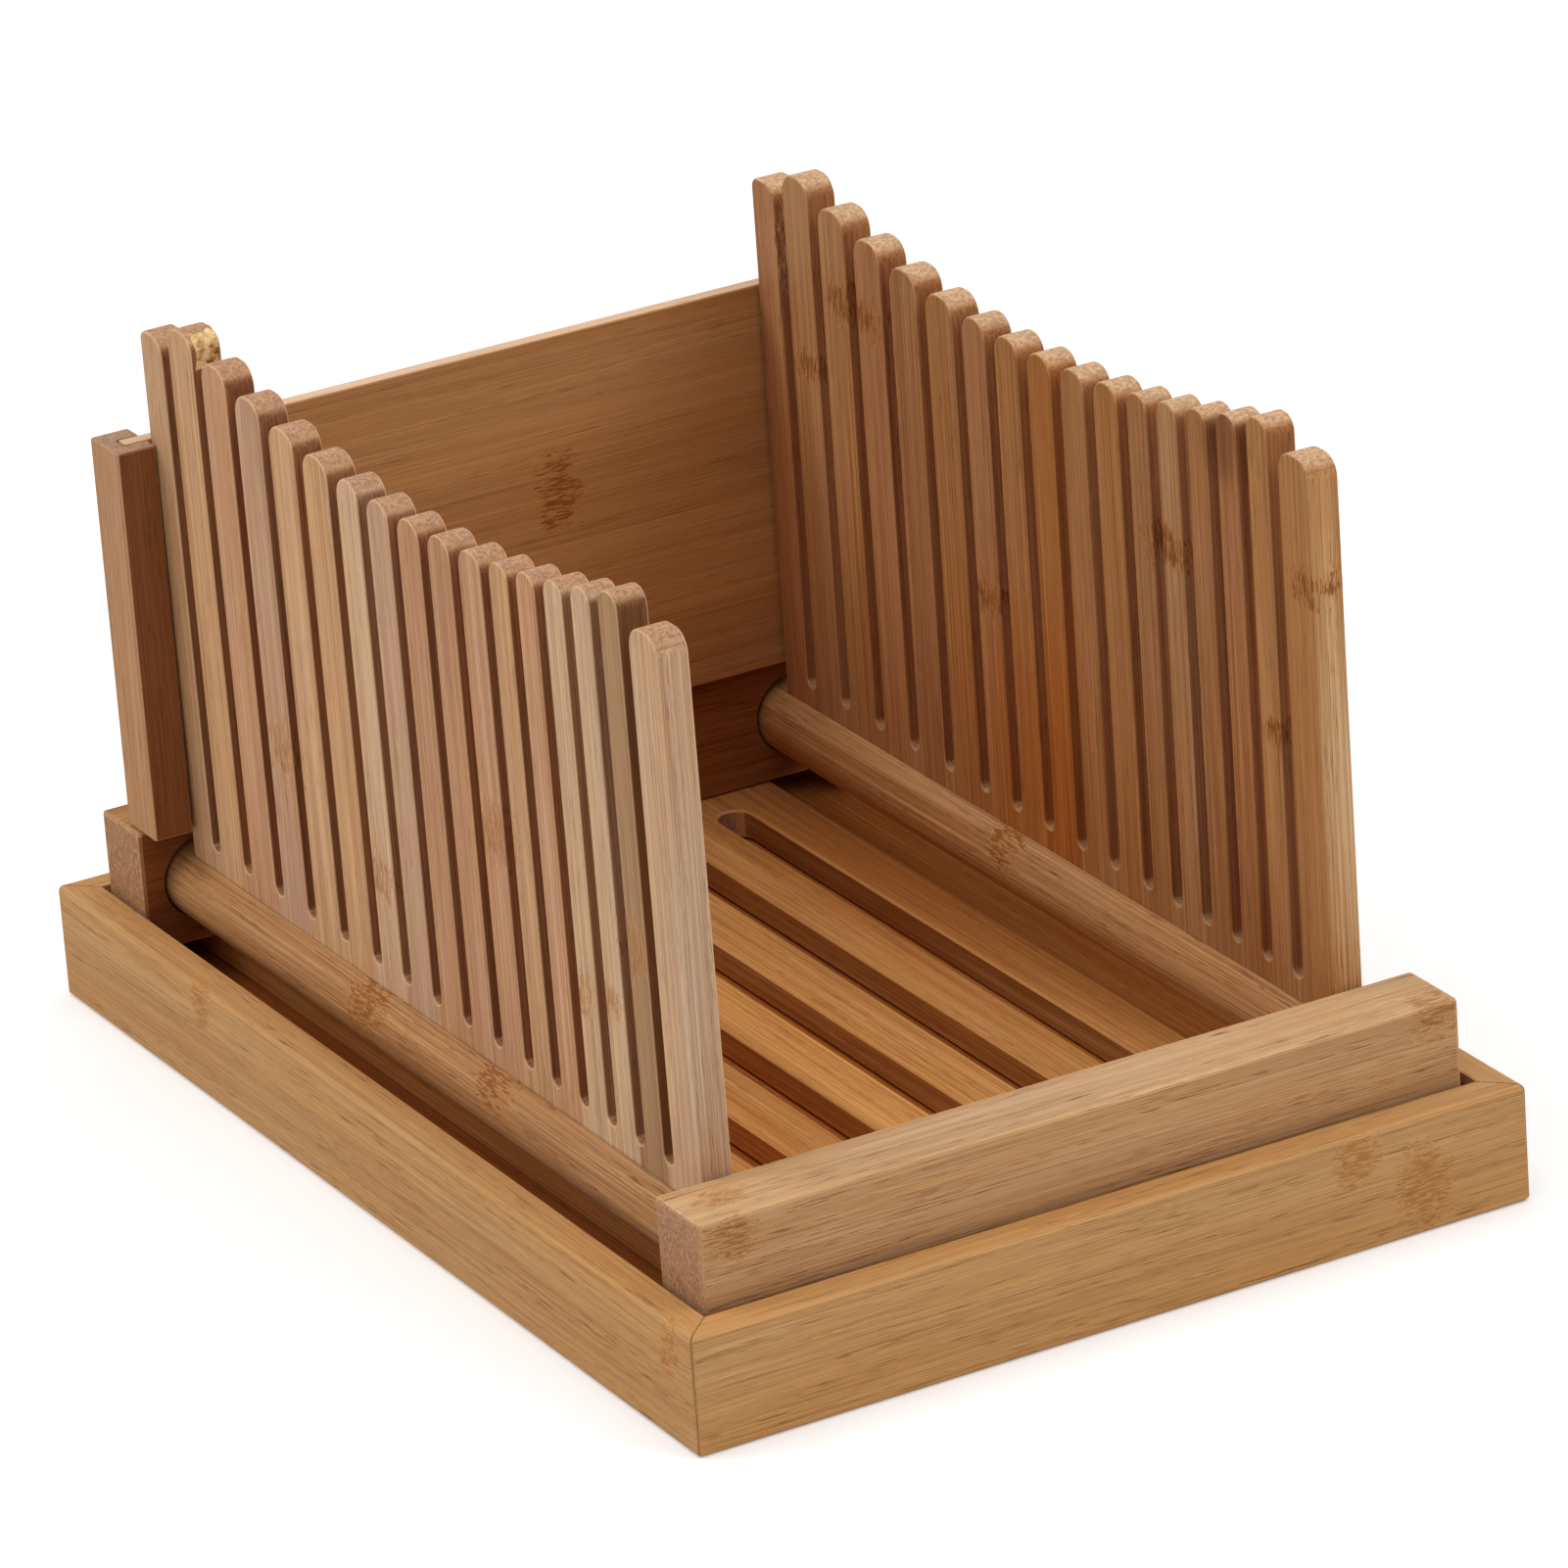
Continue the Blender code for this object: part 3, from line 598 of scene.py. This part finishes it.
def end_grain(wood):
    """Sawn ends: warm ground, mottled finely, with the dark dots of the cane's fibre bundles."""
    look = wood.look
    cells = wood.node("ShaderNodeTexVoronoi", feature="F1")
    wood.put(cells.inputs["Vector"], wood.vector("MULTIPLY", wood.place, (DOT_PITCH,) * 3))
    cells.inputs["Scale"].default_value = 1.0
    strength = wood.split(cells.outputs["Color"])[0]
    strength = wood.math("MULTIPLY_ADD", strength, 1 - FAINTEST_DOT, FAINTEST_DOT)
    dots = wood.math("MULTIPLY", wood.ramp(cells.outputs["Distance"], *DOT_STEP), strength)
    cloud = wood.noise(wood.vector("MULTIPLY", wood.place, (CLOUD_PITCH,) * 3), *CLOUD_NOISE)
    hollow = srgb(look.end_light, HOLLOW_SHARE)
    ground = wood.mix(wood.ramp(cloud, *CLOUD_STEP), hollow, srgb(look.end_light))
    return wood.mix(wood.math("MULTIPLY", dots, DOT_STRENGTH), ground, srgb(look.end_dark)), dots


def lay_ends(wood, colour):
    """End grain on the sawn ends, with painted shade at the feet of a comb's slots. Gives the colour
    and the depth of the dots in it.
    """
    sawn, dots = end_grain(wood)
    if wood.look.low_end:
        foot = wood.math("LESS_THAN", wood.along, SLOT_FEET)
        sawn = wood.toned(foot, sawn, wood.look.low_end)
    mask = wood.ramp(wood.facing[wood.look.grain], *END_STEP)
    pits = wood.math("MULTIPLY", dots, wood.math("MULTIPLY", mask, DOT_DEPTH))
    return wood.mix(mask, colour, sawn), pits


def pale_edge_mask(wood):
    """1 on the eased edges, or only on those of the two faces that the look names."""
    axis = wood.look.face_axis
    if axis is None:
        return wood.ramp(wood.largest(wood.facing), *EDGE_STEP)
    facing = wood.facing[axis]
    return wood.math("MULTIPLY", wood.ramp(facing, *FACE_RIM_STEP), wood.ramp(facing, *FACE_EDGE_STEP))


def lay_edges(wood, colour):
    """Paler wood on the eased edges."""
    look = wood.look
    if not look.edges:
        return colour
    lift = wood.math("MULTIPLY", pale_edge_mask(wood), look.edges)
    return wood.mix(lift, colour, srgb(look.light, EDGE_LIFT_SHARE))


def bamboo(name, **settings):
    """Laminated bamboo: glued strips of slightly different tone, fibres, dark dashes, knuckles, and
    painted light and shade.
    """
    wood = Wood(name, Look(**settings))
    fibres = wood.pattern(*FIBRES)
    colour = lay_stains_and_shade(wood, lay_strips(wood, fibres))
    colour, pores = lay_dashes(wood, colour)
    colour, pores = lay_knuckles(wood, colour, pores)
    colour, pits = lay_ends(wood, lay_face_light(wood, colour))
    wood.feed("Base Color", lay_edges(wood, colour))
    wood.feed("Specular IOR Level", wood.look.gloss)
    wood.feed("Roughness", wood.swing(fibres, SHEEN_SWING, ROUGHNESS))
    height = wood.math("SUBTRACT", fibres, wood.math("MULTIPLY", pores, PORE_DEPTH))
    wood.bump(wood.math("SUBTRACT", height, pits), *GRAIN_BUMP)
    return wood.material


def zinc(name):
    """Bright zinc plate with a faint mottle, for the screws under the base."""
    plate = Surface(name)
    mottle = plate.noise(plate.place, *ZINC_MOTTLE)
    plate.feed("Base Color", plate.mix(mottle, srgb(ZINC_DARK), srgb(ZINC_LIGHT)))
    plate.feed("Roughness", plate.swing(mottle, ZINC_SHEEN_SWING, ZINC_ROUGHNESS))
    plate.feed("Metallic", 1.0)
    return plate.material


def crust_material(name, high, middle, deep, scale, relief):
    """Pith or bark: lumpy, from a pale raised colour to a deep one in the hollows."""
    crust = Surface(name, scale)
    lumps = crust.noise(crust.place, *CRUST_LUMPS)
    fine = crust.noise(crust.vector("MULTIPLY", crust.place, CRUST_FINE_PITCH), *CRUST_FINE)
    level = crust.math("ADD", lumps, crust.swing(fine, CRUST_FINE_SWING))
    colour = crust.mix(crust.ramp(level, *MIDDLE_STEP), srgb(deep), srgb(middle))
    crust.feed("Base Color", crust.mix(crust.ramp(level, *HIGH_STEP), colour, srgb(high)))
    crust.feed("Roughness", crust.swing(fine, CRUST_SHEEN_SWING, CRUST_ROUGHNESS))
    crust.bump(level, CRUST_BUMP, relief)
    return crust.material


def slot_middles():
    """Middles of the knife slots along Y, from the back to the front."""
    places = [FIRST_SLOT]
    for pitch in SLICE_PITCHES:
        places += [places[-1] - pitch * step for step in range(1, SLICES_PER_PITCH + 1)]
    return places


def slats():
    """Front, rear, top, front radius and rear radius of each slat, from the back to the front."""
    half = SLOT_WIDTH / 2
    rears = [COMB_REAR] + [middle - half for middle in slot_middles()]
    fronts = [middle + half for middle in slot_middles()] + [COMB_FRONT]
    rows = []
    for number, (rear, front) in enumerate(zip(rears, fronts)):
        middle = (rear + front) / 2 - ARC_PLACE
        top = SLAT_LOW + ARC_RADIUS - math.sqrt(ARC_RADIUS**2 - middle**2)
        if number in (0, len(rears) - 1):
            top = SLAT_HIGH
        widest = WIDEST_ROUND * (rear - front)
        rear_round = REAR_ROUND if number == 0 else TOP_ROUND
        rows.append((front, rear, top, min(TOP_ROUND, widest), min(rear_round, widest)))
    return rows


def arc(centre_y, centre_z, radius, start, sweep):
    """Points in (Y, Z) of an arc, from the angle start and through the angle sweep, in degrees."""
    steps = ARC_STEPS * abs(sweep) // 90
    points = []
    for step in range(steps + 1):
        angle = math.radians(start + sweep * step / steps)
        points.append((centre_y + radius * math.cos(angle), centre_z + radius * math.sin(angle)))
    return points


def comb_outline(inset):
    """The comb's outline in (Y, Z), drawn in by inset and listed anticlockwise."""
    foot = COMB_FOOT_ROUND
    half = SLOT_WIDTH / 2
    rows = slats()
    points = arc(COMB_FRONT + foot, COMB_FOOT + foot, foot - inset, 180, 90)
    points += arc(COMB_REAR - foot, COMB_FOOT + foot, foot - inset, 270, 90)
    for number, (front, rear, top, front_round, rear_round) in enumerate(rows):
        points += arc(rear - rear_round, top - rear_round, rear_round - inset, 0, 90)
        points += arc(front + front_round, top - front_round, front_round - inset, 90, 90)
        if number < len(rows) - 1:
            points += arc(front - half, SLOT_FOOT + half, half + inset, 0, -180)
    return points


def close_rings(bm, rings):
    """A closed body through rings of as many points each."""
    for low, high in zip(rings, rings[1:]):
        for i in range(len(low)):
            bm.faces.new((low[i - 1], low[i], high[i], high[i - 1]))
    bm.faces.new(reversed(rings[0]))
    bm.faces.new(rings[-1])
    bmesh.ops.recalc_face_normals(bm, faces=bm.faces)


def add_object(name, data):
    """A new object in the scene, of a mesh, lamp or camera."""
    made = bpy.data.objects.new(name, data)
    bpy.context.scene.collection.objects.link(made)
    return made


def add_piece(name, bm, material):
    """A smooth object of the mesh, which is used up."""
    mesh = bpy.data.meshes.new(name)
    bm.to_mesh(mesh)
    bm.free()
    mesh.shade_smooth()
    mesh.materials.append(material)
    return add_object(name, mesh)


def keep_faces_flat(piece):
    """Smooth shading on the rounded edges alone."""
    normals = piece.modifiers.new("flat_faces", "WEIGHTED_NORMAL")
    normals.mode = "FACE_AREA"
    normals.weight = FLAT_FACE_WEIGHT


def stand_on_rod(piece, comb):
    """Moves a piece from the frame of its rod to its place, and lets it turn with the comb."""
    place = Matrix.Translation((COMB_X[comb], 0.0, ROD_HEIGHT))
    piece.matrix_world = place @ Matrix.Rotation(math.radians(COMB_LEAN[comb]), 4, "Y")
    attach(piece, f"{comb}_body")


def make_comb(name, material):
    """A comb with rounded slats and eased edges, in the CAD comb's place."""
    bm = bmesh.new()
    rings = []
    for side in (-1, 1):
        steps = range(EASE_STEPS + 1) if side < 0 else range(EASE_STEPS, -1, -1)
        for step in steps:
            angle = math.pi / 2 * step / EASE_STEPS
            depth = side * (COMB_THICKNESS / 2 - EDGE_EASE * (1 - math.cos(angle)))
            ring = comb_outline(EDGE_EASE * (1 - math.sin(angle)))
            rings.append([bm.verts.new((depth, y, z)) for y, z in ring])
    close_rings(bm, rings)
    piece = add_piece(f"{name}_slats", bm, material)
    keep_faces_flat(piece)
    stand_on_rod(piece, name)
    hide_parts(name)


def slat_shoulder(number, low, last_angle, steps):
    """Places and outward directions up a slat's front face and round its front shoulder, in (Y, Z)."""
    front, _, top, radius, _ = slats()[number]
    straight = top - radius - low
    length = straight + radius * math.radians(last_angle)
    path = []
    for step in range(steps + 1):
        travelled = length * step / steps
        if travelled <= straight:
            path.append((front, low + travelled, -1.0, 0.0))
            continue
        angle = (travelled - straight) / radius
        out_y, out_z = -math.cos(angle), math.sin(angle)
        path.append((front + radius + radius * out_y, top - radius + radius * out_z, out_y, out_z))
    return path


@dataclass
class Crust:
    """A rough patch of the cane's own skin or pith on a slat, along a path up the slat."""

    comb: str
    path: list
    # Lowest and highest X. Beyond the slat's face, the patch turns round the corner onto that face
    reach: tuple
    columns: int
    # Size of the lumps along the three axes, height of the patch, and how ragged its rim is
    lumps: tuple
    height: float
    ragged: float
    # Width of its foot as a share of its top's
    foot_share: float = 1.0


def limit(value):
    """The value, held from 0 to 1."""
    return min(1.0, max(0.0, value))


def crust_point(crust, x, step, rim):
    """A point of a patch at x on a step of its path, where rim is 0 in the middle and 1 at the edge."""
    y, z, out_y, out_z = step
    spot = Vector((x / crust.lumps[0], y / crust.lumps[1], z / crust.lumps[2]))
    lump = noise.fractal(spot, *LUMP_FRACTAL, noise_basis="PERLIN_ORIGINAL")
    edge = rim + crust.ragged * noise.noise(spot * RIM_PITCH)
    rise = crust.height * (LUMP_BASE + LUMP_GAIN * lump) * limit(RIM_SLOPE * (RIM_PLACE - edge))
    rise = max(rise - CRUST_SINK, -CRUST_DEPTH)
    beyond = limit((CRUST_FACE - x) / CRUST_CORNER + 0.5)
    out = rise * (1 - CORNER_SHARE * beyond)
    forward = max(0.0, CRUST_FACE - x)
    return max(x, CRUST_FACE) - beyond * rise, y + forward + out * out_y, z + out * out_z


def crust_grid(bm, crust):
    """The points of a patch, row by row up its path."""
    low, high = crust.reach
    grid = []
    for row, step in enumerate(crust.path):
        up = 2 * row / (len(crust.path) - 1) - 1
        widening = min(1.0, row / (TAPER_PART * len(crust.path)))
        taper = crust.foot_share + (1 - crust.foot_share) * widening
        line = []
        for column in range(crust.columns + 1):
            across = 2 * column / crust.columns - 1
            x = low + (high - low) * column / crust.columns
            x = CRUST_FACE + (x - CRUST_FACE) * taper
            line.append(bm.verts.new(crust_point(crust, x, step, max(abs(across), abs(up)))))
        grid.append(line)
    return grid


def make_crust(name, crust, material):
    """A rough patch, lumpy in the middle and let in at its rim."""
    bm = bmesh.new()
    grid = crust_grid(bm, crust)
    for low, high in zip(grid, grid[1:]):
        for i in range(crust.columns):
            bm.faces.new((low[i], low[i + 1], high[i + 1], high[i]))
    piece = add_piece(name, bm, material)
    body = piece.modifiers.new("body", "SOLIDIFY")
    body.thickness = CRUST_THICKNESS
    stand_on_rod(piece, crust.comb)


def make_pith():
    """The lump of pith on the left comb's second slat."""
    pith = crust_material(
        "pith",
        high=(242, 208, 158),
        middle=(222, 176, 112),
        deep=(178, 126, 70),
        scale=(520, 520, 520),
        relief=0.0006,
    )
    patch = Crust(
        comb="left_comb",
        path=slat_shoulder(number=1, low=0.1490, last_angle=96, steps=28),
        reach=(-0.0038, 0.0042),
        columns=20,
        lumps=(0.0028, 0.0028, 0.0026),
        height=0.0009,
        ragged=0.5,
    )
    make_crust("left_comb_pith", patch, pith)


def make_bark():
    """The strip of bark on the right comb's first slat."""
    bark = crust_material(
        "bark",
        high=(202, 152, 104),
        middle=(164, 112, 70),
        deep=(104, 62, 32),
        scale=(1500, 1500, 190),
        relief=0.0005,
    )
    patch = Crust(
        comb="right_comb",
        path=slat_shoulder(number=0, low=0.1180, last_angle=40, steps=60),
        reach=(-0.0060, 0.0022),
        columns=24,
        lumps=(0.0011, 0.0011, 0.0060),
        height=0.0005,
        ragged=0.6,
        foot_share=0.25,
    )
    make_crust("right_comb_bark", patch, bark)


def left_comb_bamboo(**wood):
    """The left comb's wood, pinkish, with the tint of each slat, and painted shade on its front faces,
    deeper on the slot walls, and at the slots' feet.
    """
    return bamboo(
        "left_comb_bamboo",
        grain=Z,
        light=(222, 180, 140),
        dark=(173, 126, 87),
        **wood,
        seed=15.0,
        knuckles=KNUCKLES["left_comb"],
        marks=0.6,
        marked=(150, 96, 58),
        tints=LEFT_TINTS.split(),
        spots=[((-4, -138, 50), (4.5, 6, 70), PALE_SPOT)],
        # Painted shade: front faces a little darker, slot walls much darker
        faces=[
            (FRONT_FACE, (0.86, 0.84, 0.84), None),
            (FRONT_FACE, (0.53, 0.40, 0.32), SLOT_WALL_START),
        ],
        end_light=(196, 151, 115),
        end_dark=(140, 92, 62),
        # Painted shade on the sawn ends at the slots' feet
        low_end=(0.80, 0.72, 0.66),
    )


def right_comb_bamboo(**wood):
    """The right comb's wood, with its pale front end, its amber and brown stains, and painted shade on
    its slot walls and at the slots' feet.
    """
    return bamboo(
        "right_comb_bamboo",
        grain=Z,
        light=(205, 155, 107),
        dark=(156, 104, 62),
        **wood,
        seed=17.0,
        knuckles=KNUCKLES["right_comb"],
        marks=0.85,
        tints=RIGHT_TINTS.split(),
        spots=[
            ((2, -140, 72), (9, 6.5, 100), WHITE_SPOT),
            ((-8, 8, 30), (8, 66, 78), AMBER_SPOT),
            ((-2, -97, 148), (9, 13, 17), BARK_SPOT),
        ],
        edges=0.14,
        # Painted shade on the slot walls
        faces=[(FRONT_FACE, (0.72, 0.60, 0.56), SLOT_WALL_START)],
        end_light=(218, 176, 136),
        end_dark=(154, 100, 60),
        # Painted shade on the sawn ends at the slots' feet
        low_end=(0.66, 0.58, 0.50),
    )


def make_combs():
    """Both combs, with the pith and the bark left on their slats."""
    wood = dict(strips=(30, 34), tone=0.2, face_axis=X, dashes=0.55, streaks=2.3)
    make_comb("left_comb", left_comb_bamboo(**wood))
    make_comb("right_comb", right_comb_bamboo(**wood))
    make_pith()
    make_bark()


def seam_profile():
    """Outline of a mitre's glue line: how far in along the mitre, and height."""
    slant = math.sqrt(2)
    profile = [(TRAY_CORNER_ROUND * (slant - 1) + SEAM_INSET, TRAY_FOOT)]
    for step in range(ARC_STEPS + 1):
        angle = math.pi / 2 * step / ARC_STEPS
        depth = TRAY_RIM_ROUND * (1 - math.cos(angle))
        corner_round = max(TRAY_CORNER_ROUND - depth, 0.0)
        along = slant * depth + corner_round * (slant - 1) + SEAM_INSET
        profile.append((along, TRAY_TOP - TRAY_RIM_ROUND * (1 - math.sin(angle)) - SEAM_INSET))
    inner = slant * TRAY_WALL - SEAM_INSET
    return profile + [(inner, TRAY_TOP - SEAM_INSET), (inner, TRAY_FOOT)]


def make_mitre_seam(name, side_x, side_y, material):
    """The glue line in one mitre of the tray, a thin wedge of glued wood dust that closes the joint."""
    bm = bmesh.new()
    rings = []
    for half in (-SEAM_WIDTH / 2, SEAM_WIDTH / 2):
        ring = []
        for along, height in seam_profile():
            x = side_x * (TRAY_HALF_WIDTH - (along + half) / math.sqrt(2))
            y = side_y * (TRAY_HALF_LENGTH - (along - half) / math.sqrt(2))
            ring.append(bm.verts.new((x, y, height)))
        rings.append(ring)
    close_rings(bm, rings)
    piece = add_piece(name, bm, material)
    keep_faces_flat(piece)
    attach(piece, "tray")


def paint(material, *nodes):
    """Gives CAD nodes that stay as they are the material."""
    for node in nodes:
        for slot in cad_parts[node].material_slots:
            slot.material = material


def dress_tray():
    """The tray's four walls."""
    wood = dict(
        light=(217, 170, 114),
        dark=(174, 123, 71),
        strips=(8.7, 10.3),
        tone=0.2,
        bands=0.6,
        streaks=1.3,
        dashes=0.75,
        edges=0.15,
        marks=0.6,
        marked=(160, 98, 44),
    )
    long_wall = bamboo("tray_bamboo_long", grain=Y, **wood, seed=3.0, knuckles=KNUCKLES["tray_long"])
    short_wall = bamboo("tray_bamboo_short", grain=X, **wood, seed=5.0, knuckles=KNUCKLES["tray_short"])
    paint(long_wall, "tray_left_wall", "tray_right_wall")
    paint(short_wall, "tray_front_wall", "tray_rear_wall")


def make_mitre_seams():
    """The glue lines in the tray's four mitres."""
    glue = bamboo(
        "seam_bamboo",
        grain=Z,
        light=(196, 146, 94),
        dark=(178, 128, 78),
        edges=0.0,
        seed=25.0,
    )
    for end, side_y in (("front", -1), ("rear", 1)):
        for hand, side_x in (("left", -1), ("right", 1)):
            make_mitre_seam(f"tray_{end}_{hand}_seam", side_x, side_y, glue)


def dress_tray_floor():
    """The tray's floor panel, of deeper colour than its walls, as painted shade for the gaps beside the
    deck.
    """
    floor = bamboo(
        "floor_bamboo",
        grain=Y,
        light=(200, 128, 66),
        dark=(150, 84, 38),
        strips=(20, 5),
        seed=7.0,
        gloss=0.02,
    )
    paint(floor, "tray_floor")


def dress_deck():
    """The deck board, with painted shade that makes its right side darker and redder."""
    deck = bamboo(
        "deck_bamboo",
        grain=Y,
        light=(222, 164, 99),
        dark=(168, 108, 54),
        strips=(24, 5),
        streaks=2.4,
        dashes=0.5,
        seed=9.0,
        # Painted shade: the right side darker and redder
        spots=[((92, 60, 19), (62, 170, 200), DECK_RIGHT_SHADE)],
        gloss=0.07,
    )
    paint(deck, "deck_board")


def dress_rails():
    """The front rail with a painted highlight that makes its top paler, and the rear rail with painted
    shade on its front side.
    """
    wood = dict(
        grain=X,
        light=(211, 167, 120),
        dark=(164, 113, 68),
        strips=(22, 17),
        bands=0.6,
        streaks=1.6,
        dashes=0.8,
        knuckles=KNUCKLES["rail"],
        marks=0.55,
        end_light=(192, 144, 105),
        end_dark=(130, 84, 54),
    )
    # Painted highlight on the front rail's top, painted shade on the rear rail's front
    painted_highlight_top = [(TOP_FACE, (1.10, 1.22, 1.40), None)]
    painted_shade_front = [(FRONT_FACE, (0.52, 0.33, 0.20), None)]
    front = bamboo("front_rail_bamboo", **wood, seed=11.0, faces=painted_highlight_top)
    rear = bamboo("rear_rail_bamboo", **wood, seed=12.0, gloss=0.04, faces=painted_shade_front)
    paint(front, "front_rail")
    paint(rear, "rear_rail")


def dress_rods():
    """The two rods, each in one strip of cane."""
    rod = bamboo(
        "rod_bamboo",
        grain=Y,
        light=(214, 165, 114),
        dark=(160, 107, 64),
        strips=(60, 60),
        edges=0.0,
        streaks=2.2,
        seed=13.0,
        dashes=0.8,
        knuckles=KNUCKLES["rod"],
    )
    paint(rod, "left_rod", "right_rod")


def dress_board():
    """The back board, with a painted highlight that makes its top edge pale."""
    board = bamboo(
        "board_bamboo",
        grain=X,
        light=(207, 155, 100),
        dark=(162, 110, 64),
        strips=(20, 27),
        bands=0.6,
        streaks=1.3,
        dashes=0.4,
        seed=19.0,
        knuckles=KNUCKLES["board"],
        # Painted highlight on the top edge
        faces=[(TOP_FACE, (1.45, 2.00, 3.60), None)],
    )
    paint(board, "back_board")


def dress_bars():
    """The two end bars, with painted shade that deepens their front sides."""
    bar = bamboo(
        "bar_bamboo",
        grain=Z,
        light=(203, 155, 112),
        dark=(154, 106, 70),
        strips=(22, 20),
        streaks=1.9,
        seed=21.0,
        # Painted shade on the front sides
        faces=[(FRONT_FACE, (0.52, 0.37, 0.27), None)],
        end_light=(184, 147, 118),
        end_dark=(132, 92, 68),
    )
    paint(bar, "left_end_bar", "right_end_bar")


def dress_dowels():
    """The dowels under the end bars."""
    pin = bamboo(
        "dowel_grain",
        grain=Z,
        light=(216, 186, 146),
        dark=(178, 142, 100),
        strips=(9, 9),
        edges=0.0,
        seed=23.0,
    )
    paint(pin, "left_frame_dowel", "right_frame_dowel")


def dress_screws():
    """The zinc screws under the rails."""
    screws = [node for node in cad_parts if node.startswith("rail_screw")]
    paint(zinc("screw_zinc"), *screws)


def white_for_camera(graph):
    """1 for rays from the camera and for those that it sees through gloss or glass."""
    path = graph.node("ShaderNodeLightPath")
    rays = ("Is Camera Ray", "Is Glossy Ray", "Is Transmission Ray")
    return graph.largest([path.outputs[ray] for ray in rays])


def make_world():
    """An even pale room, which the camera sees as white."""
    world = bpy.data.worlds.new("studio")
    bpy.context.scene.world = world
    world.use_nodes = True
    room = Graph(world.node_tree)
    background = room.tree.nodes["Background"]
    background.inputs["Color"].default_value = WHITE
    strength = room.ramp(white_for_camera(room), 0.0, 1.0, ROOM_LEVEL, 1.0)
    room.put(background.inputs["Strength"], strength)


def make_floor():
    """A wide pale floor that keeps the shadow, and glows more far out, so that it reads as white."""
    mesh = bpy.data.meshes.new("studio_floor")
    corners = [(x * FLOOR_HALF, y * FLOOR_HALF, 0) for x, y in ((-1, -1), (1, -1), (1, 1), (-1, 1))]
    mesh.from_pydata(corners, [], [(0, 1, 2, 3)])
    floor = add_object("studio_floor", mesh)
    floor.location.z = -FLOOR_DROP
    surface = Surface("studio_floor", scale=(1.0, 1.0, 1.0))
    mesh.materials.append(surface.material)
    surface.feed("Base Color", FLOOR_COLOUR)
    surface.feed("Roughness", FLOOR_ROUGHNESS)
    surface.feed("Emission Color", WHITE)
    distance = surface.vector("LENGTH", surface.place, output="Value")
    glow = surface.ramp(distance, NEAR_FLOOR, FAR_FLOOR, FLOOR_GLOW, 1.0)
    surface.feed("Emission Strength", surface.math("MULTIPLY", white_for_camera(surface), glow))


def make_lamps():
    """Square soft boxes round the part."""
    for name, (place, side, power) in LAMPS.items():
        lamp = bpy.data.lights.new(name, "AREA")
        lamp.shape = "SQUARE"
        lamp.size = side
        lamp.energy = power
        holder = add_object(name, lamp)
        holder.location = place
        aim = Vector(LAMP_TARGET) - Vector(place)
        holder.rotation_euler = aim.to_track_quat("-Z", "Y").to_euler()


def make_camera():
    """The camera at the photo's viewing angle."""
    data = bpy.data.cameras.new("photo_camera")
    data.lens = LENS_MM
    data.sensor_width = SENSOR_MM
    data.clip_end = CAMERA_REACH
    camera = add_object("photo_camera", data)
    right = Vector(CAMERA_RIGHT).normalized()
    back = -Vector(CAMERA_FORWARD).normalized()
    up = back.cross(right).normalized()
    turn = Matrix((right, up, back)).transposed().to_4x4()
    camera.matrix_world = Matrix.Translation(CAMERA_PLACE) @ turn
    bpy.context.scene.camera = camera


make_camera()
make_world()
make_floor()
make_lamps()
dress_tray()
make_mitre_seams()
dress_tray_floor()
dress_deck()
dress_rails()
dress_rods()
dress_screws()
dress_board()
dress_bars()
dress_dowels()
make_combs()
bpy.context.scene.view_settings.view_transform = "Standard"
